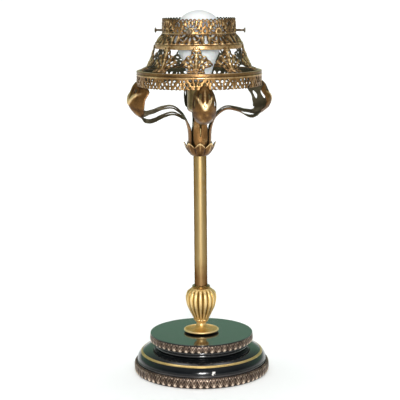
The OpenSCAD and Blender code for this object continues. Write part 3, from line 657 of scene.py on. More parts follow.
def gilt_line():
    """Gilded line with a low round back, let into the shoulder of the lower tier."""
    wide, tall = PLINTH_R - SHOULDER_R, PLINTH_TOP - CURVE_Z
    middle = np.array([SHOULDER_R + wide * math.cos(GILT_AT), CURVE_Z + tall * math.sin(GILT_AT)])
    along = np.array([-wide * math.sin(GILT_AT), tall * math.cos(GILT_AT)])
    along /= np.linalg.norm(along)
    out = np.array([along[1], -along[0]])
    section = np.vstack([[[-GILT_W / 2, -GILT_DEPTH]], arc(0, CLEAR, GILT_W / 2, GILT_RISE, 180, 0, 9),
                         [[GILT_W / 2, -GILT_DEPTH]]])
    section = middle + section[:, :1] * along + section[:, 1:] * out
    lathe("gilt_line", "drawn", section, 256, GILT, "gilding")


def chased_band(node, radius, z0, z1, count):
    """Ring covered with veined leaf tongues that hang side by side, with small beads between their tops; the
    tone paints highlights on the tongue tips and beads and shade between the tongues.
    """
    rows, per = 21, 20
    columns = count * per
    crown = 0.55 * BAND_THICK
    face = arc(radius - crown, (z0 + z1) / 2, crown - 0.5, (z1 - z0) / 2, -88, 88, rows)
    back = [[radius - BAND_THICK, z1], [radius - BAND_THICK, z0]]
    q = from_middle(columns, count)
    t = np.linspace(0, 1, rows)[:, None]
    half = 0.92 * np.interp(t, [0, 0.07, 0.16, 0.34, 0.7, 0.86, 0.95], [0, 0.15, 0.62, 1, 0.78, 0.5, 0])
    tongue = np.sqrt(np.clip(1 - (q / np.maximum(half, 0.01)) ** 2, 0, 1))
    tip = bell(t - 0.22, 0.12) * bell(q, 0.4)
    veins = np.cos(2 * math.pi * (1.5 * q - 3.1 * t)) * (1 - tip)
    grains = np.cos(2 * math.pi * 2.5 * q) * np.cos(2 * math.pi * 4.5 * t) * (1 - tip)
    beads = bell(1 - q, 0.24) * bell(t - 0.8, 0.09)
    edge = bell(t - 0.02, 0.05) + bell(t - 0.98, 0.04)
    relief = 0.5 * tongue + 0.6 * tip + 0.2 * veins + 0.12 * grains + 0.6 * beads + 0.35 * edge
    # Painted highlight on the tongue tips and beads, painted shade in the hollows between the tongues.
    tone = 0.2 + 0.2 * tongue + 0.65 * tip + 0.2 * veins + 0.2 * grains + 0.4 * beads + 0.1 * edge
    tone = np.clip(tone, 0, 1)
    flat = np.zeros((len(back), columns))
    lathe(node, "chased", np.vstack([face, back]), columns, CHASED, "chased_brass",
          relief=np.vstack([relief, flat]), crease=80, height=np.vstack([tone, flat]))


# Stem

DISH_LIP = 1.1
COLUMN_WALL = 1
KNOP_CURVE = [0.49, 0.585, 0.69, 0.79, 0.885, 0.945, 0.98, 1, 0.97, 0.87, 0.62]
CALYX_T = 1.0
CALYX_FOOT_R = COLUMN_R + 0.1 + 1.2


def foot_dish():
    """Spun dish with a rolled lip painted bright as a highlight, a plain bowl and an underside painted dark
    as shade.
    """
    tall = DISH_Z1 - DISH_Z0
    under = smooth(levels([(12.6, 0), (13, 0.12), (15.5, 0.18), (19.5, 0.22)], DISH_Z0, DISH_Z1), 14)
    lip = arc(DISH_R - DISH_LIP, DISH_Z0 + 0.32 * tall, DISH_LIP, DISH_LIP, -75, 145, 16)
    bowl = smooth(levels([(19.3, 0.34), (17, 0.3), (14.5, 0.31), (10.8, 0.45), (8.2, 0.7), (6.7, 1)],
                         DISH_Z0, DISH_Z1), 24)
    section = np.vstack([[[HOLE_R, DISH_Z0]], under, lip, bowl, [[HOLE_R, DISH_Z1]]])
    r, z = section.T
    # Painted highlight along the rolled lip, painted shade on the underside.
    tone = 0.52 + 0.45 * bell(r - DISH_R + 0.8, 1.2) - 0.5 * (z < DISH_Z0 + 0.24 * tall)
    lathe("foot_dish", "spun", section, 128, GILDED, "polished_brass", height=np.clip(tone, 0, 1))


def knop_neck():
    """Bud under the knop, with a ring of small leaves."""
    outline = [(6.4, 0), (6, 0.3), (6.5, 0.5), (8.2, 0.68), (9, 0.8), (8.9, 0.9), (8.2, 1)]
    wall = smooth(levels(outline, NECK_Z0, NECK_Z1), 28)
    section = np.vstack([[[HOLE_R, NECK_Z0]], wall, [[HOLE_R, NECK_Z1]]])
    steps = 12 * NECK_LEAVES
    rise = (section[:, 1:] - NECK_Z0) / (NECK_Z1 - NECK_Z0)
    leaf = 0.75 * (1 - from_middle(steps, NECK_LEAVES) ** 2) - 0.45
    scallop = window(rise, 0.42, 0.55, 0.86, 1) * leaf
    # Leaves painted lighter and the gaps between them darker, as painted highlight and shade.
    lathe("knop_neck", "leaved", section, steps, GILDED, "polished_brass", relief=scallop,
          crease=60, height=0.62 + 0.5 * scallop)


def knop():
    """Fluted melon: round ribs that end in arches under a plain top."""
    rows, steps = 64, 16 * KNOP_RIBS
    share = np.linspace(0, 1, rows)[:, None]
    r = KNOP_R * smooth(KNOP_CURVE, rows)[:, None]
    angle = circle(steps)[None, :] + KNOP_TURN
    q = from_middle(steps, KNOP_RIBS)
    reach = window(share, -0.02, 0.1, 0.9, 0.99)
    flutes = 0.12 * r * q ** 2.2 * reach
    body = turn_round(r - flutes, angle, KNOP_Z0 + (KNOP_Z1 - KNOP_Z0) * share)
    low, top = (turn_round(np.full((1, steps), HOLE_R), angle, z) for z in (KNOP_Z0, KNOP_Z1))
    # Painted highlight on the ribs and painted shade in the flutes between them.
    height = np.pad(0.6 + reach * (0.34 - 0.9 * q ** 1.5), ((1, 1), (0, 0)), constant_values=0.5)
    points = np.vstack([low, body, top]).reshape(-1, 3)
    piece("fluted_knop", "cast", points, grid_faces(rows + 2, steps, True), GILDED, "polished_brass",
          crease=60, height=height.ravel())


def collar():
    """Round collar between the knop and the column."""
    half = (COLLAR_Z1 - COLLAR_Z0) / 2
    section = np.vstack([
        [[HOLE_R, COLLAR_Z0], [COLUMN_R + 2, COLLAR_Z0]],
        arc(COLLAR_R - half, COLLAR_Z0 + half, half, half - CLEAR, -85, 75, 14),
        [[COLUMN_R + 0.6, COLLAR_Z1 - 0.3], [COLUMN_R + 0.3, COLLAR_Z1], [HOLE_R, COLLAR_Z1]]])
    lathe("knop_collar", "turned", section, 96, POLISHED, "polished_brass", height=0.25)


def column():
    """Drawn tube, darker at its foot and a little at its top."""
    z = np.linspace(COLUMN_Z0, HUB_Z, 60)
    bore = COLUMN_R - COLUMN_WALL
    section = np.vstack([np.column_stack([np.full(60, COLUMN_R), z]), [[bore, HUB_Z], [bore, COLUMN_Z0]]])
    z = section[:, 1]
    tone = 0.62 - 0.4 * (1 - ease(z, COLUMN_Z0 + 12, COLUMN_Z0 + 40)) - 0.1 * ease(z, HUB_Z - 25, HUB_Z)
    lathe("column_tube", "drawn", section, 96, SATIN, "satin_brass", height=tone)


def calyx():
    """Cup of pointed leaves that flare at their tips, each with a rib down the middle."""
    rows, steps = 26, 24 * CALYX_LEAVES
    share = np.linspace(0, 1, rows)[:, None]
    q = from_middle(steps, CALYX_LEAVES)
    s = share * (1 - 0.38 * q ** 1.4)
    wide = CALYX_R - 0.6 - CALYX_FOOT_R
    r = CALYX_FOOT_R + wide * (0.15 * s + 0.85 * np.sin(math.pi / 2 * s) ** 0.68)
    r = r + (0.5 * s + 0.6 * ease(s, 0.85, 1)) * (1 - q)
    rib = 0.35 * bell(q, 0.12) * ease(s, 0.1, 0.5)
    valley = -0.7 * bell(1 - q, 0.12) * ease(s, 0.05, 0.3)
    angle = circle(steps)[None, :] + CALYX_TURN
    z = CALYX_Z0 + (CALYX_Z1 - CALYX_Z0) * s
    outer, inner = (turn_round(wall, angle, z).reshape(-1, 3) for wall in (r + rib + valley, r - CALYX_T))
    first = np.arange(steps)
    after = (first + 1) % steps
    last = (rows - 1) * steps
    rims = np.vstack([np.column_stack([first, after]), np.column_stack([after, first]) + last]).tolist()
    # Painted highlight on the midribs and flared tips, painted shade in the valleys between the leaves.
    height = np.clip(0.3 + rib + 0.6 * valley + 0.6 * ease(share, 0.84, 0.98), 0, 1)
    faces = grid_faces(rows, steps)
    closed_sheet("calyx_cup", "leaved", outer, inner, faces, rims, height.ravel(), 0.35, LEAF,
                 "satin_brass", 60)


# Arms: middle line, half width and depth of bowl at points along an arm; places on it are counted in points

ARM_T = 1.3
ARM_W = 13.8
ARM_CUP = 17
ARM_SPREAD = 2.8
ARM_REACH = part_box("arm_front")[0].y / -MM
ARM_ROOT = HUB_R + ARM_T / 2 + 0.16
ARM_TIP = GALLERY_R + ARM_T / 2 + CLEAR
ARM_RISE = BAND_Z0 - HUB_Z
ARM_SPAN = ARM_REACH - ARM_T / 2 - ARM_ROOT
ARM_LINE = [[ARM_ROOT + ARM_SPAN * a, HUB_Z + ARM_RISE * b] for a, b in (
    (0, 0.02), (0, 0.206), (0.012, 0.348), (0.06, 0.491), (0.16, 0.588), (0.285, 0.633), (0.455, 0.603),
    (0.61, 0.537), (0.75, 0.506), (0.885, 0.557), (0.985, 0.679), (1, 0.816), (0.955, 0.938))]
ARM_LINE += [[ARM_TIP + 0.28 * (ARM_REACH - ARM_TIP), BAND_Z0 + 0.6], [ARM_TIP, BAND_Z0 + 5]]
ARM_END = len(ARM_LINE) - 1
ARM_HALF = [6.4, 8.4, 8.3, 7.6, 8, 8.9, 9.6, 9.9] + [ARM_W * p for p in (0.72, 0.84, 0.98, 1, 0.86, 0.6, 0.3)]
ARM_BOWL = [r - math.sqrt(r ** 2 - half ** 2) for r, half in zip(
    (ARM_ROOT, ARM_ROOT + ARM_SPREAD, ARM_ROOT + ARM_SPREAD), ARM_HALF)]
ARM_BOWL += [ARM_CUP * p for p in (0.1, 0.14, 0.18, 0.2, 0.22, 0.26, 0.5, 0.68, 0.76, 0.88, 0.5, 0.02)]

# Half of the gap between the two ribbons, where the gap opens and closes, and where each ribbon is slit
ARM_GAP = [0.5, 0.5, 0.7, 1.6, 3, 4, 4.7, 4.9, 4.6]
GAP_OPENS, GAP_CLOSES, RIBBON_SLIT = (1.2, 1.8), (8.15, 7.45), (3.4, 6.2)

# Slots of each leaf: place across and half width as shares of the leaf's, start, end, and side, 0 for both
PLAIN_SLOTS = [(0.43, 0.13, 11.35, 12.35, 0), (0.86, 0.06, 10.5, 11.4, 0)]
RIGHT_SLOTS = [(0.43, 0.14, 10.7, 11.9, 1), (0.84, 0.07, 10.6, 11.7, 1),
               (0.43, 0.13, 11.7, 12.5, -1), (0.5, 0.11, 9.7, 10.7, -1)]
LEFT_SLOTS = [(0.4, 0.07, 11.7, 12.5, 1)]
ARM_SLOTS = [PLAIN_SLOTS, RIGHT_SLOTS, PLAIN_SLOTS, LEFT_SLOTS]

# Lumps beaten into each leaf: place along it, place across it, rise and size
ARM_LUMPS = ((9.0, -1.6, 0.6, 3.4), (9.7, -5.4, 0.5, 2.6), (9.85, 2.2, 0.45, 1.9), (9.3, 6.4, 0.4, 2.8))

# How each leaf is bent by hand: sideways lean, lift and twist, and where its ribbons start to roll over
ARM_LEAN = [0, 0.8, 0, -3.2]
ARM_LIFT = [0, 4, 0, 1.5]
ARM_TWIST = [0, -7, 0, -6]
ARM_ROLL = [None, (5.5, 8), None, (2.5, 3.5)]

# Cuts narrower than this share are left out, and far is a distance past every edge
THIN, FAR = 0.02, 9


def arm_line(u):
    """Middle line of an arm: it springs from the hub inside the calyx and stands off it above."""
    points = spline(ARM_LINE, u)
    points[:, 0] += ARM_SPREAD * window(u, 0, 0.8, 4, 7)
    return points


def arm_field(side, u, v, half):
    """Outline of a leaf that is split into two slit ribbons below and slotted above."""
    away = np.abs(v)
    gap = spline(ARM_GAP, np.clip(u[:, 0], 0, len(ARM_GAP) - 1))[:, None]
    field = np.minimum(half - away, 7 * np.minimum(u, ARM_END - u))
    ends = np.sqrt(part_way(u, *GAP_OPENS) * part_way(u, *GAP_CLOSES))
    field = np.minimum(field, np.where(ends > 0, away - gap * ends, 1 + away))
    slit = hump(u, *RIBBON_SLIT)
    cut = np.abs(away - 0.5 * (gap + half)) - 0.17 * (half - gap) * slit
    field = np.minimum(field, np.where(slit > THIN, cut, FAR))
    for middle, wide, low, high, only in ARM_SLOTS[side]:
        slot = wide * half * hump(u, low, high) * (v * only >= 0)
        field = np.minimum(field, np.where(slot > THIN, np.abs(away - middle * half) - slot, FAR))
    return field


def arm_relief(u, v, half):
    """Midrib, chevron, sunk foot, lumps and two pairs of grooves of a leaf; through the height mask the
    raised parts are painted lighter as highlight and the sunk foot darker as shade.
    """
    away = np.abs(v)
    relief = 0.35 * bell(v, 0.1 * half) * window(u, 10.7, 11.2, 12.2, 13.2)
    # The raised chevron is also painted lighter as highlight through the height mask.
    relief = relief + 1.2 * bell(away - 5.8 * (u - 10.35), 1.8) * window(u, 10.2, 10.45, 11.4, 12)
    # Sinks the lower bowl a little, which the height mask also paints darker as shade.
    relief = relief - 0.3 * window(u, 7.8, 8.6, 9.9, 10.4)
    for along, out, rise, size in ARM_LUMPS:
        relief = relief + rise * bell(v - out, size) * bell((u - along) * 9, size)
    relief = relief - 0.4 * bell(away - 0.2 * half, 0.8) * window(u, 10.8, 11.2, 12.4, 13)
    return relief - 0.35 * bell(away - 0.6 * half, 0.7) * ease(u, 10.8, 11.3)


def arm(side):
    """Leaf that splits into two ribbons; its slotted bowl ends in a finger that is brazed to the band."""
    rows, cols = 200, 64
    u = np.linspace(-0.05, ARM_END + 0.05, rows)
    shares = np.linspace(-1.12, 1.12, cols)
    on = np.clip(u, 0, ARM_END)
    way = arm_line(np.minimum(on + 0.05, ARM_END)) - arm_line(np.maximum(on - 0.05, 0))
    way /= np.linalg.norm(way, axis=1, keepdims=True)
    half, bowl = spline(ARM_HALF, on), spline(ARM_BOWL, on)
    rolled = window(u, *ARM_ROLL[side], 7.2, 9.3) if ARM_ROLL[side] else np.zeros(rows)
    upright = ease(u, 8.3, 9.8)
    leaning = hump(u, 3, 13) ** 0.7
    lifted = window(u, 5.5, 8, 8.8, 11)
    twisted = part_way(u, 8, 10.5) * part_way(u, ARM_END, ARM_END - 1)
    by_row = [half, bowl, *arm_line(on).T, *way.T, rolled, upright, leaning, lifted, twisted]
    turn = math.pi / 2 * side

    def place(points, lift):
        """Points of the sheet on its outer face, or on its inner face where lift is negative."""
        wide, deep, r, z, way_r, way_z, roll, rise, lean, up, twist = (
            np.interp(points[:, 0], np.arange(rows), values) for values in by_row)
        share = np.interp(points[:, 1], np.arange(cols), shares)
        bend = share * (1 - roll) + np.abs(share) * np.sign(ARM_LEAN[side]) * roll
        slope = 2 * deep * bend / wide
        offset = np.where(lift < 0, -ARM_T / 2, ARM_T / 2 - PILLOW + lift) / np.sqrt(1 + slope ** 2)
        dip = deep * share * bend
        x = share * wide + offset * slope
        r = r - dip * (rise + (1 - rise) * np.where(way_r > 0, way_z, 1)) + offset * way_z
        r = r + ARM_TWIST[side] * share * twist
        z = z + dip * (1 - rise) * np.maximum(way_r, 0) - offset * way_r
        z = z + ARM_LEAN[side] * share * lean + ARM_LIFT[side] * up
        s, c = math.sin(turn), math.cos(turn)
        return np.column_stack([x * c + r * s, x * s - r * c, z])

    grid = u[:, None], half[:, None] * shares, half[:, None]
    field, relief = arm_field(side, *grid), arm_relief(*grid)
    cut_sheet(f"arm_{SIDES[side]}", "leaf", field, relief, place, False, ARM_T, LEAF, "leaf_brass")


# Gallery: a lens hole is given by its place, lean, length and width, and a round one by its place and radius

BAND_MID = 7
BAND_SCALLOPS = 6
BAND_HOLES = (
    (6.2, 3.8, 62, 5, 2.8), (4.1, -0.2, 48, 3.4, 2.5), (10.3, -0.6, 24, 4.8, 2.5), (7, -4.4, 40, 3.4, 2.3),
    (12.9, -3.8, 4, 4.4, 1.5), (13.7, 3.2, 14, 3, 1.3))
PALMETTE_T = 0.55
PALMETTE_KNEE = GALLERY_R - 13
PALMETTE_HALF = (
    (0, 10.6), (3, 10.2), (8, 9.4), (10.4, 10.4), (11.6, 15.5), (13.2, 19.2), (15.4, 19.6), (17.5, 17.8),
    (19.6, 16.4), (21.4, 13.6), (23.4, 12.4), (25, 11.6), (26.2, 8.6), (27.2, 6.0), (29, 6.2), (31, 5.8),
    (32.6, 4.2), (34.2, 4.3), (35.4, 3.4), (36.4, 1.4), (37, -1))
PALMETTE_HOLES = (
    (2.6, 29, 34, 3.6, 1.6), (4.6, 24.6, -34, 4.6, 2.2), (9.4, 22.8, 42, 3.8, 1.7), (3.6, 18.6, 24, 4.4, 1.5),
    (10.6, 17.6, 66, 4.8, 2), (15.8, 15.2, 70, 3.2, 1.6), (5.8, 14.2, 62, 4.4, 1.6),
    (11.6, 13.2, 84, 3.8, 1.5), (5.2, 8.6, 36, 4.2, 1.9), (3.6, 2.8, 34, 3.6, 1.8), (7.8, 4.2, 20, 3.6, 1.5))
PALMETTE_EYES = ((2.1, 33.6, 0.9), (7.6, 26.0, 0.6), (17.6, 13.8, 0.6))
KEYHOLE_R, KEYHOLE_Y, KEYHOLE_HALF = 2.6, 4.6, 1.5
SKIRT_DAISY = 3.8
SKIRT_HOLES = (
    (3.4, 2.4, 70, 3.0, 1.3), (8.4, 2.8, 100, 3.2, 1.4), (12.6, 3.6, 10, 3.0, 1.4), (11.0, 8.0, 40, 4.0, 1.7),
    (12.6, 12.6, 6, 3.6, 1.4), (8.6, 6.4, 62, 3.0, 1.3))
FITTER_LOOPS = 7
ROSETTE_Y = 11.4
FITTER_HOLES = (
    (10.8, 2.4, 80, 3.6, 1.4), (12.4, 6.6, 30, 3, 1.4), (9.2, 12, 20, 3, 1.6), (4.4, 14.2, 62, 3, 1.5),
    (9.8, 15.2, 70, 2.6, 1.4))


def wall_grid(profile, radii, count, turn, margin=2):
    """Grid over a turned wall: x and y in a motif, x from its edge, top of y, and what places its points."""
    profile = np.asarray(profile, float)
    columns = count * int(round(2 * math.pi * profile[:, 0].mean() / count / GRID))
    run = run_along(profile)
    along = np.gradient(profile, run, axis=0)
    y = (np.arange(-margin, int(run[-1] / GRID) + 2 + margin) * GRID)[None, :]
    pitch = 2 * math.pi * np.interp(y, run, radii) / count
    x = repeat(columns, count)[:, None] * pitch

    def place(points, lift):
        """Points of the wall, raised along its normal."""
        angle = points[:, 0] / columns * 2 * math.pi + turn
        r, z, along_r, along_z = (np.interp((points[:, 1] - margin) * GRID, run, values)
                                  for values in (*profile.T, *along.T))
        size = np.hypot(along_r, along_z)
        return turn_round(r + lift * along_z / size, angle, z - lift * along_r / size)

    return x, y, pitch / 2 - np.abs(x), run[-1], place


def lace(node, field, relief, place, thick=SHEET - PILLOW):
    """Pierced sheet of the gallery."""
    cut_sheet(node, "pierced", field, relief, place, True, thick, AGED, "aged_brass")


def gallery_band():
    """Lower band: fans of lens-shaped holes under a plain strip, with a scalloped lower edge."""
    wall = [[GALLERY_R - PILLOW, BAND_Z0], [GALLERY_R - PILLOW, BAND_Z1]]
    x, y, away, top, place = wall_grid(wall, [GALLERY_R, GALLERY_R], PANELS, GALLERY_TURN)
    pitch = 2 * math.pi * GALLERY_R / PANELS
    scallop = np.abs((x / (pitch / BAND_SCALLOPS)) % 1 - 0.5) * 2
    level = y - BAND_MID
    field = pierce(np.minimum(y - 1.1 * scallop ** 2, top - y), lens(x, level, 0, 3.2, 0, 5.6, 3.4),
                   lens(x, level, 0.3, -4.4, 20, 3.2, 2.2), disc(x, level, 0, -0.9, 0.9),
                   *pairs(lens, x, level, *BAND_HOLES))
    relief = 0.35 * bell(away - 1.2 - 0.12 * y, 0.6) * (y < 12) + 0.4 * bell(y - 14, 0.6)
    lace("gallery_band", field, relief, place)


def gallery_shoulder():
    """Plain shoulder of the lower band, with a small round edge."""
    z, tall, edge = SHOULDER_Z0, SHOULDER_Z1 - SHOULDER_Z0, 1.1
    outer = np.vstack([[[GALLERY_R, z]], arc(GALLERY_R - edge, z + tall - edge, edge, edge, 0, 90, 17)])
    lip = [[GALLERY_R - r, SHOULDER_Z1 - down] for r, down in ((5.2, 0), (5.4, 0.4), (5.4, SHEET))]
    inner = arc(GALLERY_R - 4, z, 4 - SHEET, tall - SHEET, 90, 0, 18)
    section = np.vstack([outer, lip, inner])
    # Outer face painted lighter toward its rounded top edge as highlight; lip and inside painted darker, the
    # inside dull olive, as shade.
    height = np.concatenate([np.linspace(0.35, 0.7, len(outer)), [0.5, 0.4, 0.3], np.full(len(inner), 0.2)])
    lathe("gallery_shoulder", "spun", section, 256, AGED, "aged_brass",
          height=height, inner=np.arange(len(section)) >= len(outer) + len(lip))


def palmettes():
    """Pierced palmettes that lean in from the shoulder to the plain ring."""
    top_r, skirt = MID_R + 0.65, MID_Z0 - SHOULDER_Z1
    profile = smooth([
        [GALLERY_R - 4.6, SHOULDER_Z1 + 0.6], [GALLERY_R - 9, SHOULDER_Z1 + 0.11 * skirt],
        [PALMETTE_KNEE + 0.4, SHOULDER_Z1 + 0.19 * skirt - 0.2],
        [0.5 * (PALMETTE_KNEE + top_r) + 0.2, SHOULDER_Z1 + 0.5 * skirt],
        [top_r, MID_Z0 + 0.2], [top_r, MID_Z1 + 1.5]], 60)
    x, y, _, _, place = wall_grid(profile, profile[:, 0], PALMETTES, GALLERY_TURN)
    field = np.minimum(np.interp(y, *np.transpose(PALMETTE_HALF)) - np.abs(x), y)
    field = pierce(field, lens(x, y, 0, 22.4, 0, 3.8, 1.2), lens(x, y, 0, 6.0, 0, 3.6, 1.2),
                   *pairs(lens, x, y, *PALMETTE_HOLES), *pairs(disc, x, y, *PALMETTE_EYES))
    out = np.hypot(x, y - 4)
    fan = np.cos(15 * np.arctan2(x, y - 4)) * ease(out, 4, 9)
    petals = sum(bell(out - ring, 0.9) for ring in (11.5, 16.5, 23.5, 28.5))
    relief = 0.5 * bell(x, 0.8) * (y < 31) + (0.4 * petals + 0.3 * fan) * (y > 6)
    lace("palmette_skirt", field, relief, place, PALMETTE_T)


def mid_ring():
    """Plain ring over the palmettes."""
    bore = MID_R - SHEET - 0.4
    section = rounded([[bore, MID_Z0], [MID_R, MID_Z0], [MID_R, MID_Z1], [bore, MID_Z1]], 1.3, 7)
    r = section[:, 0]
    # Outer face painted lighter as highlight; top, underside and bore painted darker, the bore dull olive, as
    # shade.
    lathe("mid_ring", "spun", section, 256, AGED, "aged_brass",
          crease=50, height=0.2 + 0.4 * ease(r, MID_R - 0.7, MID_R - 0.1), inner=r < MID_R - 1)


def upper_skirt():
    """Cone between the plain ring and the fitter: half daisies and keyhole gaps."""
    wall = [[MID_R - 0.85, MID_Z1 + CLEAR], [FITTER_R + CLEAR, FITTER_Z0]]
    x, y, away, top, place = wall_grid(wall, [MID_R, FITTER_R], MOTIFS, SCREW_TURN)
    neck = np.minimum(KEYHOLE_HALF - away, np.minimum(y - KEYHOLE_Y, top - 1.2 - y))
    keyhole = np.maximum(disc(away, y, 0, KEYHOLE_Y, KEYHOLE_R), neck)
    field = pierce(np.minimum(y, top - y), keyhole, *pairs(lens, x, y, *SKIRT_HOLES),
                   *daisy(x, y, 0, top + SKIRT_DAISY, (180, 150, 210, 122, 238), 6.8, 13.6, 2.3))
    fan = np.cos(13 * np.arctan2(x, top + SKIRT_DAISY - y)) * (away > 3)
    relief = 0.4 * bell(y - 0.6, 0.6) + 0.4 * bell(away - 3.4, 0.7) + 0.35 * fan
    lace("upper_skirt", field, relief, place)


def fitter_ring():
    """Upright ring of daisies round the screws, rosettes between them, and a looped top edge."""
    wall = [[FITTER_R - PILLOW, FITTER_Z0], [FITTER_R - PILLOW, FITTER_Z1]]
    x, y, away, top, place = wall_grid(wall, [FITTER_R, FITTER_R], MOTIFS, SCREW_TURN)
    pitch = 2 * math.pi * FITTER_R / MOTIFS
    lo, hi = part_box("screw_bosses")
    centre = (lo.z + hi.z) / 2 / MM - FITTER_Z0
    loop = (x / (pitch / FITTER_LOOPS) + 0.5) % 1 - 0.5
    field = np.minimum(top - y - 2.3 * np.abs(2 * loop) ** 2.5, y)
    field = pierce(field, *daisy(x, y, 0, centre, (-84, -56, -28, 0, 28, 56, 84), 4.4, 9.4, 2.1),
                   *daisy(away, y, 0, ROSETTE_Y, (-120, -72, -24, 24, 72, 120), 1.4, 4.0, 1.6),
                   disc(away, y, 0, ROSETTE_Y, 0.5), lens(away, y, 0, 4.4, 0, 4.4, 2.0),
                   *pairs(lens, x, y, *FITTER_HOLES),
                   disc(loop * pitch / FITTER_LOOPS, y, 0, top - 2.3, 0.75))
    out = np.hypot(x, y - centre)
    fan = np.cos(math.pi * np.degrees(np.arctan2(x, y - centre)) / 14) * (out < 11) * (y > centre)
    relief = 0.6 * bell(out - 3.3, 0.6) + 0.3 * bell(y - 0.8, 0.7) + 0.45 * bell(out - 11.4, 0.8) - 0.3 * fan
    lace("fitter_ring", field, relief, place)


# Thumb screws and bulb

SHANK_LEN, SHANK_R, TIP_R, STUD_R = 14.8, 1.4, 0.7, 1.2
THREAD_START, THREAD_DEPTH, HALF_THREAD, THREAD_POINTS = 1.2, 0.14, 0.25, 38
KNOB_START, KNOB_END = 11.5, 16.0
GLASS = 0.8
BULB_THREAD = 3.63


def screw(side):
    """Threaded shank and flared knob of one thumb screw."""
    name = SIDES[side]
    turn = SCREW_TURN + side * math.pi / 2
    out = np.array([math.sin(turn), -math.cos(turn), 0])
    right = np.array([math.cos(turn), math.sin(turn), 0])
    up = np.array([0, 0, 1])
    lo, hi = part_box(f"thumb_shank_{name}")
    middle = np.array((lo + hi) / 2) / MM
    tip = (middle @ out - SHANK_LEN / 2) * out + middle[2] * up

    def spin(kind, way, section, steps, knurl):
        """Section turned round the screw; knurl is the share by which its widest part is milled."""
        section = np.asarray(section, float)
        a = circle(steps)
        radius = section[:, :1] * (1 + knurl * np.cos(a * 20) * (section[:, :1] > 2.6))
        points = (tip + section[:, 1:, None] * out + (radius * np.cos(a))[..., None] * right
                  + (radius * np.sin(a))[..., None] * up)
        faces = capped_faces(len(section), steps)
        piece(f"thumb_{kind}_{name}", way, points.reshape(-1, 3), faces, DARK_STEEL, "dark_steel",
              f"{kind}_{name}")

    thread = [[SHANK_R - THREAD_DEPTH * (k % 2), THREAD_START + HALF_THREAD * k]
              for k in range(THREAD_POINTS)]
    spin("shank", "threaded", [[TIP_R, 0], *thread, [STUD_R, 10.8], [STUD_R, SHANK_LEN]], 40, 0)
    neck = [[r, KNOB_START + z] for r, z in (
        (1.3, 0), (1.55, 0.25), (1.35, 0.8), (1.3, 1.8), (1.6, 2.7), (2.6, 3.3), (3.1, 3.8))]
    end = [[r, KNOB_END - z] for r, z in ((2.9, 0.15), (2.3, 0), (1.2, 0.05), (0.2, 0.1))]
    spin("knob", "flared", smooth(neck + end, 40), 60, 0.02)


def bulb():
    """Blown globe on a tapering neck, and its rolled screw cap."""
    neck_r, ball_z, joint = CAP_R - 0.2, BULB_Z1 - BULB_R, 0.42
    f = np.linspace(0, 1, 24)[:-1]
    wide = BULB_R * math.cos(math.asin(joint))
    flank = neck_r + (wide - neck_r) * (0.62 * f + 0.38 * f ** 3 * (3 - 2 * f))
    outer = np.vstack([np.column_stack([flank, BULB_Z0 + (ball_z - joint * BULB_R - BULB_Z0) * f]),
                       arc(0, ball_z, BULB_R, BULB_R, -24.8, 89.6, 48)])
    inner = outer[::-1] - [GLASS, 0]
    inner[:, 0] = np.maximum(inner[:, 0], CLEAR)
    inner[:24, 1] -= GLASS
    shell = np.vstack([outer, inner])
    lathe("bulb_glass", "blown", shell, 128, FROSTED, "frosted_glass", "bulb_globe", crease=70)
    z = np.linspace(CAP_Z0 + 2.6, CAP_Z1 - 2, 60)
    ridges = CAP_R - 0.45 + 0.4 * np.cos((z - z[0]) / BULB_THREAD * 2 * math.pi)
    foot = [[0.3, CAP_Z0], [0.72 * CAP_R, CAP_Z0], [CAP_R - 0.6, CAP_Z0 + 2.2]]
    inside = [[CAP_R - 0.3, CAP_Z1], [CAP_R - 1, CAP_Z1], [CAP_R - 1, CAP_Z0 + 3], [0.3, CAP_Z0 + 0.6]]
    cap = np.vstack([foot, np.column_stack([ridges, z]), inside])
    lathe("bulb_cap", "rolled", cap, 96, BULB_CAP, "bulb_cap_metal", "bulb_base")


lower_plinth()
upper_plinth()
gilt_line()
chased_band("plinth_band", LOW_BAND_R, LOW_BAND_Z0, LOW_BAND_Z1, LOW_TONGUES)
chased_band("upper_band", UP_BAND_R, UP_BAND_Z0, UP_BAND_Z1, UP_TONGUES)
foot_dish()
knop_neck()
knop()
collar()
column()
calyx()
for number in range(len(SIDES)):
    arm(number)
    screw(number)
gallery_band()
gallery_shoulder()
palmettes()
mid_ring()
upper_skirt()
fitter_ring()
bulb()


# Stage: floor, light and camera, in metres

WHITE, BLACK = (1, 1, 1), (0, 0, 0)
WALL, CAMERA_SIDE, HAZE, ABOVE = (0.25, 0.44, 0.31), (0.07, 0.07, 0.075), (0.7, 0.72, 0.71), (0.3, 0.31, 0.31)
FLOOR_R, FLAT_R, FLOOR_RISE = 11, 2, 0.75


def floor():
    """Pale paper sweep: flat round the lamp, rising gently far away."""
    steps = 96
    rings = np.array([0.02, *range(1, FLOOR_R + 1)])
    rise = FLOOR_RISE * part_way(rings, FLAT_R, FLOOR_R) ** 2
    points = turn_round(rings[:, None], circle(steps)[None, :], rise[:, None]).reshape(-1, 3)
    faces = grid_faces(len(rings), steps) + [list(range(steps))[::-1]]
    obj = add_mesh("floor", points / MM, faces)
    obj.data.shade_smooth()
    s = Surface("floor_paper")
    paper = s.ramp(s.noise(6, 2, 0.5), (0.3, (0.93, 0.93, 0.93)), (0.7, (0.95, 0.95, 0.95)))
    s.set(Base_Color=paper, Roughness=0.9)
    obj.data.materials.append(s.material)


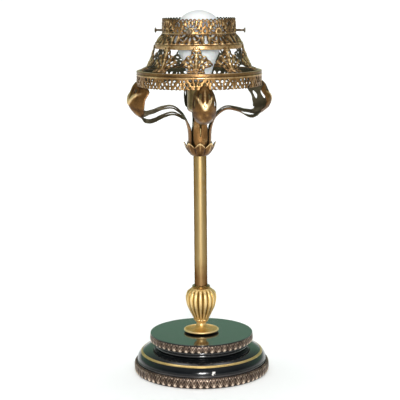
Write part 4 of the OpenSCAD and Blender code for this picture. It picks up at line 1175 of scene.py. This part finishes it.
def area(name, place, target, size, power, spread):
    """Rectangular lamp aimed at a target."""
    light = bpy.data.lights.new(name, "AREA")
    light.shape = "RECTANGLE"
    light.size, light.size_y = size
    light.energy = power
    light.spread = math.radians(spread)
    obj = add_object(name, light)
    obj.location = place
    obj.rotation_euler = (Vector(target) - Vector(place)).to_track_quat("-Z", "Y").to_euler()


def world():
    """Soft studio: a green-grey wall behind, neutral above and along the floor, darker towards the camera."""
    studio = bpy.data.worlds.new("studio")
    bpy.context.scene.world = studio
    studio.use_nodes = True
    s = Nodes(studio.node_tree, "Generated")

    def shade(axis, *stops):
        """Colour by one part of the direction, with stops from -1 to 1."""
        share = s.fit(s.add("SeparateXYZ", axis, {0: s.coords}), -1, 1, 0, 1)
        return s.ramp(share, *[((place + 1) / 2, colour) for place, colour in stops])

    colour = shade("Y", (-0.3, CAMERA_SIDE), (0.25, WALL))
    colour = s.mix(shade("Z", (0.07, WHITE), (0.19, BLACK)), colour, HAZE)
    colour = s.mix(shade("Z", (0.35, BLACK), (0.75, WHITE)), colour, ABOVE)
    s.put(s.tree.nodes["Background"].inputs["Color"], colour)


def camera():
    """Camera at the photograph's viewing angle."""
    distance, height = 1.51, 0.4775
    azimuth, pitch, roll = math.radians(-4.5), math.radians(9.889), math.radians(-0.49)
    data = bpy.data.cameras.new("camera")
    data.sensor_width = 36
    data.lens = 112.53
    data.shift_x = -0.0007
    obj = add_object("camera", data)
    place = Matrix.Translation((distance * math.sin(azimuth), -distance * math.cos(azimuth), height))
    aim = Matrix.Rotation(azimuth, 4, "Z") @ Matrix.Rotation(math.pi / 2 - pitch, 4, "X")
    obj.matrix_world = place @ aim @ Matrix.Rotation(roll, 4, "Z")
    bpy.context.scene.camera = obj


floor()
world()
area("overhead", (0, 4.35, 3.2), target=(0, 4.35, 0), size=(9, 9.2), power=255, spread=70)
area("flash", (-0.1, -1.7, 0.62), target=(0, 0, 0.25), size=(0.3, 0.25), power=29, spread=180)
camera()
bpy.context.scene.view_settings.view_transform = "Standard"
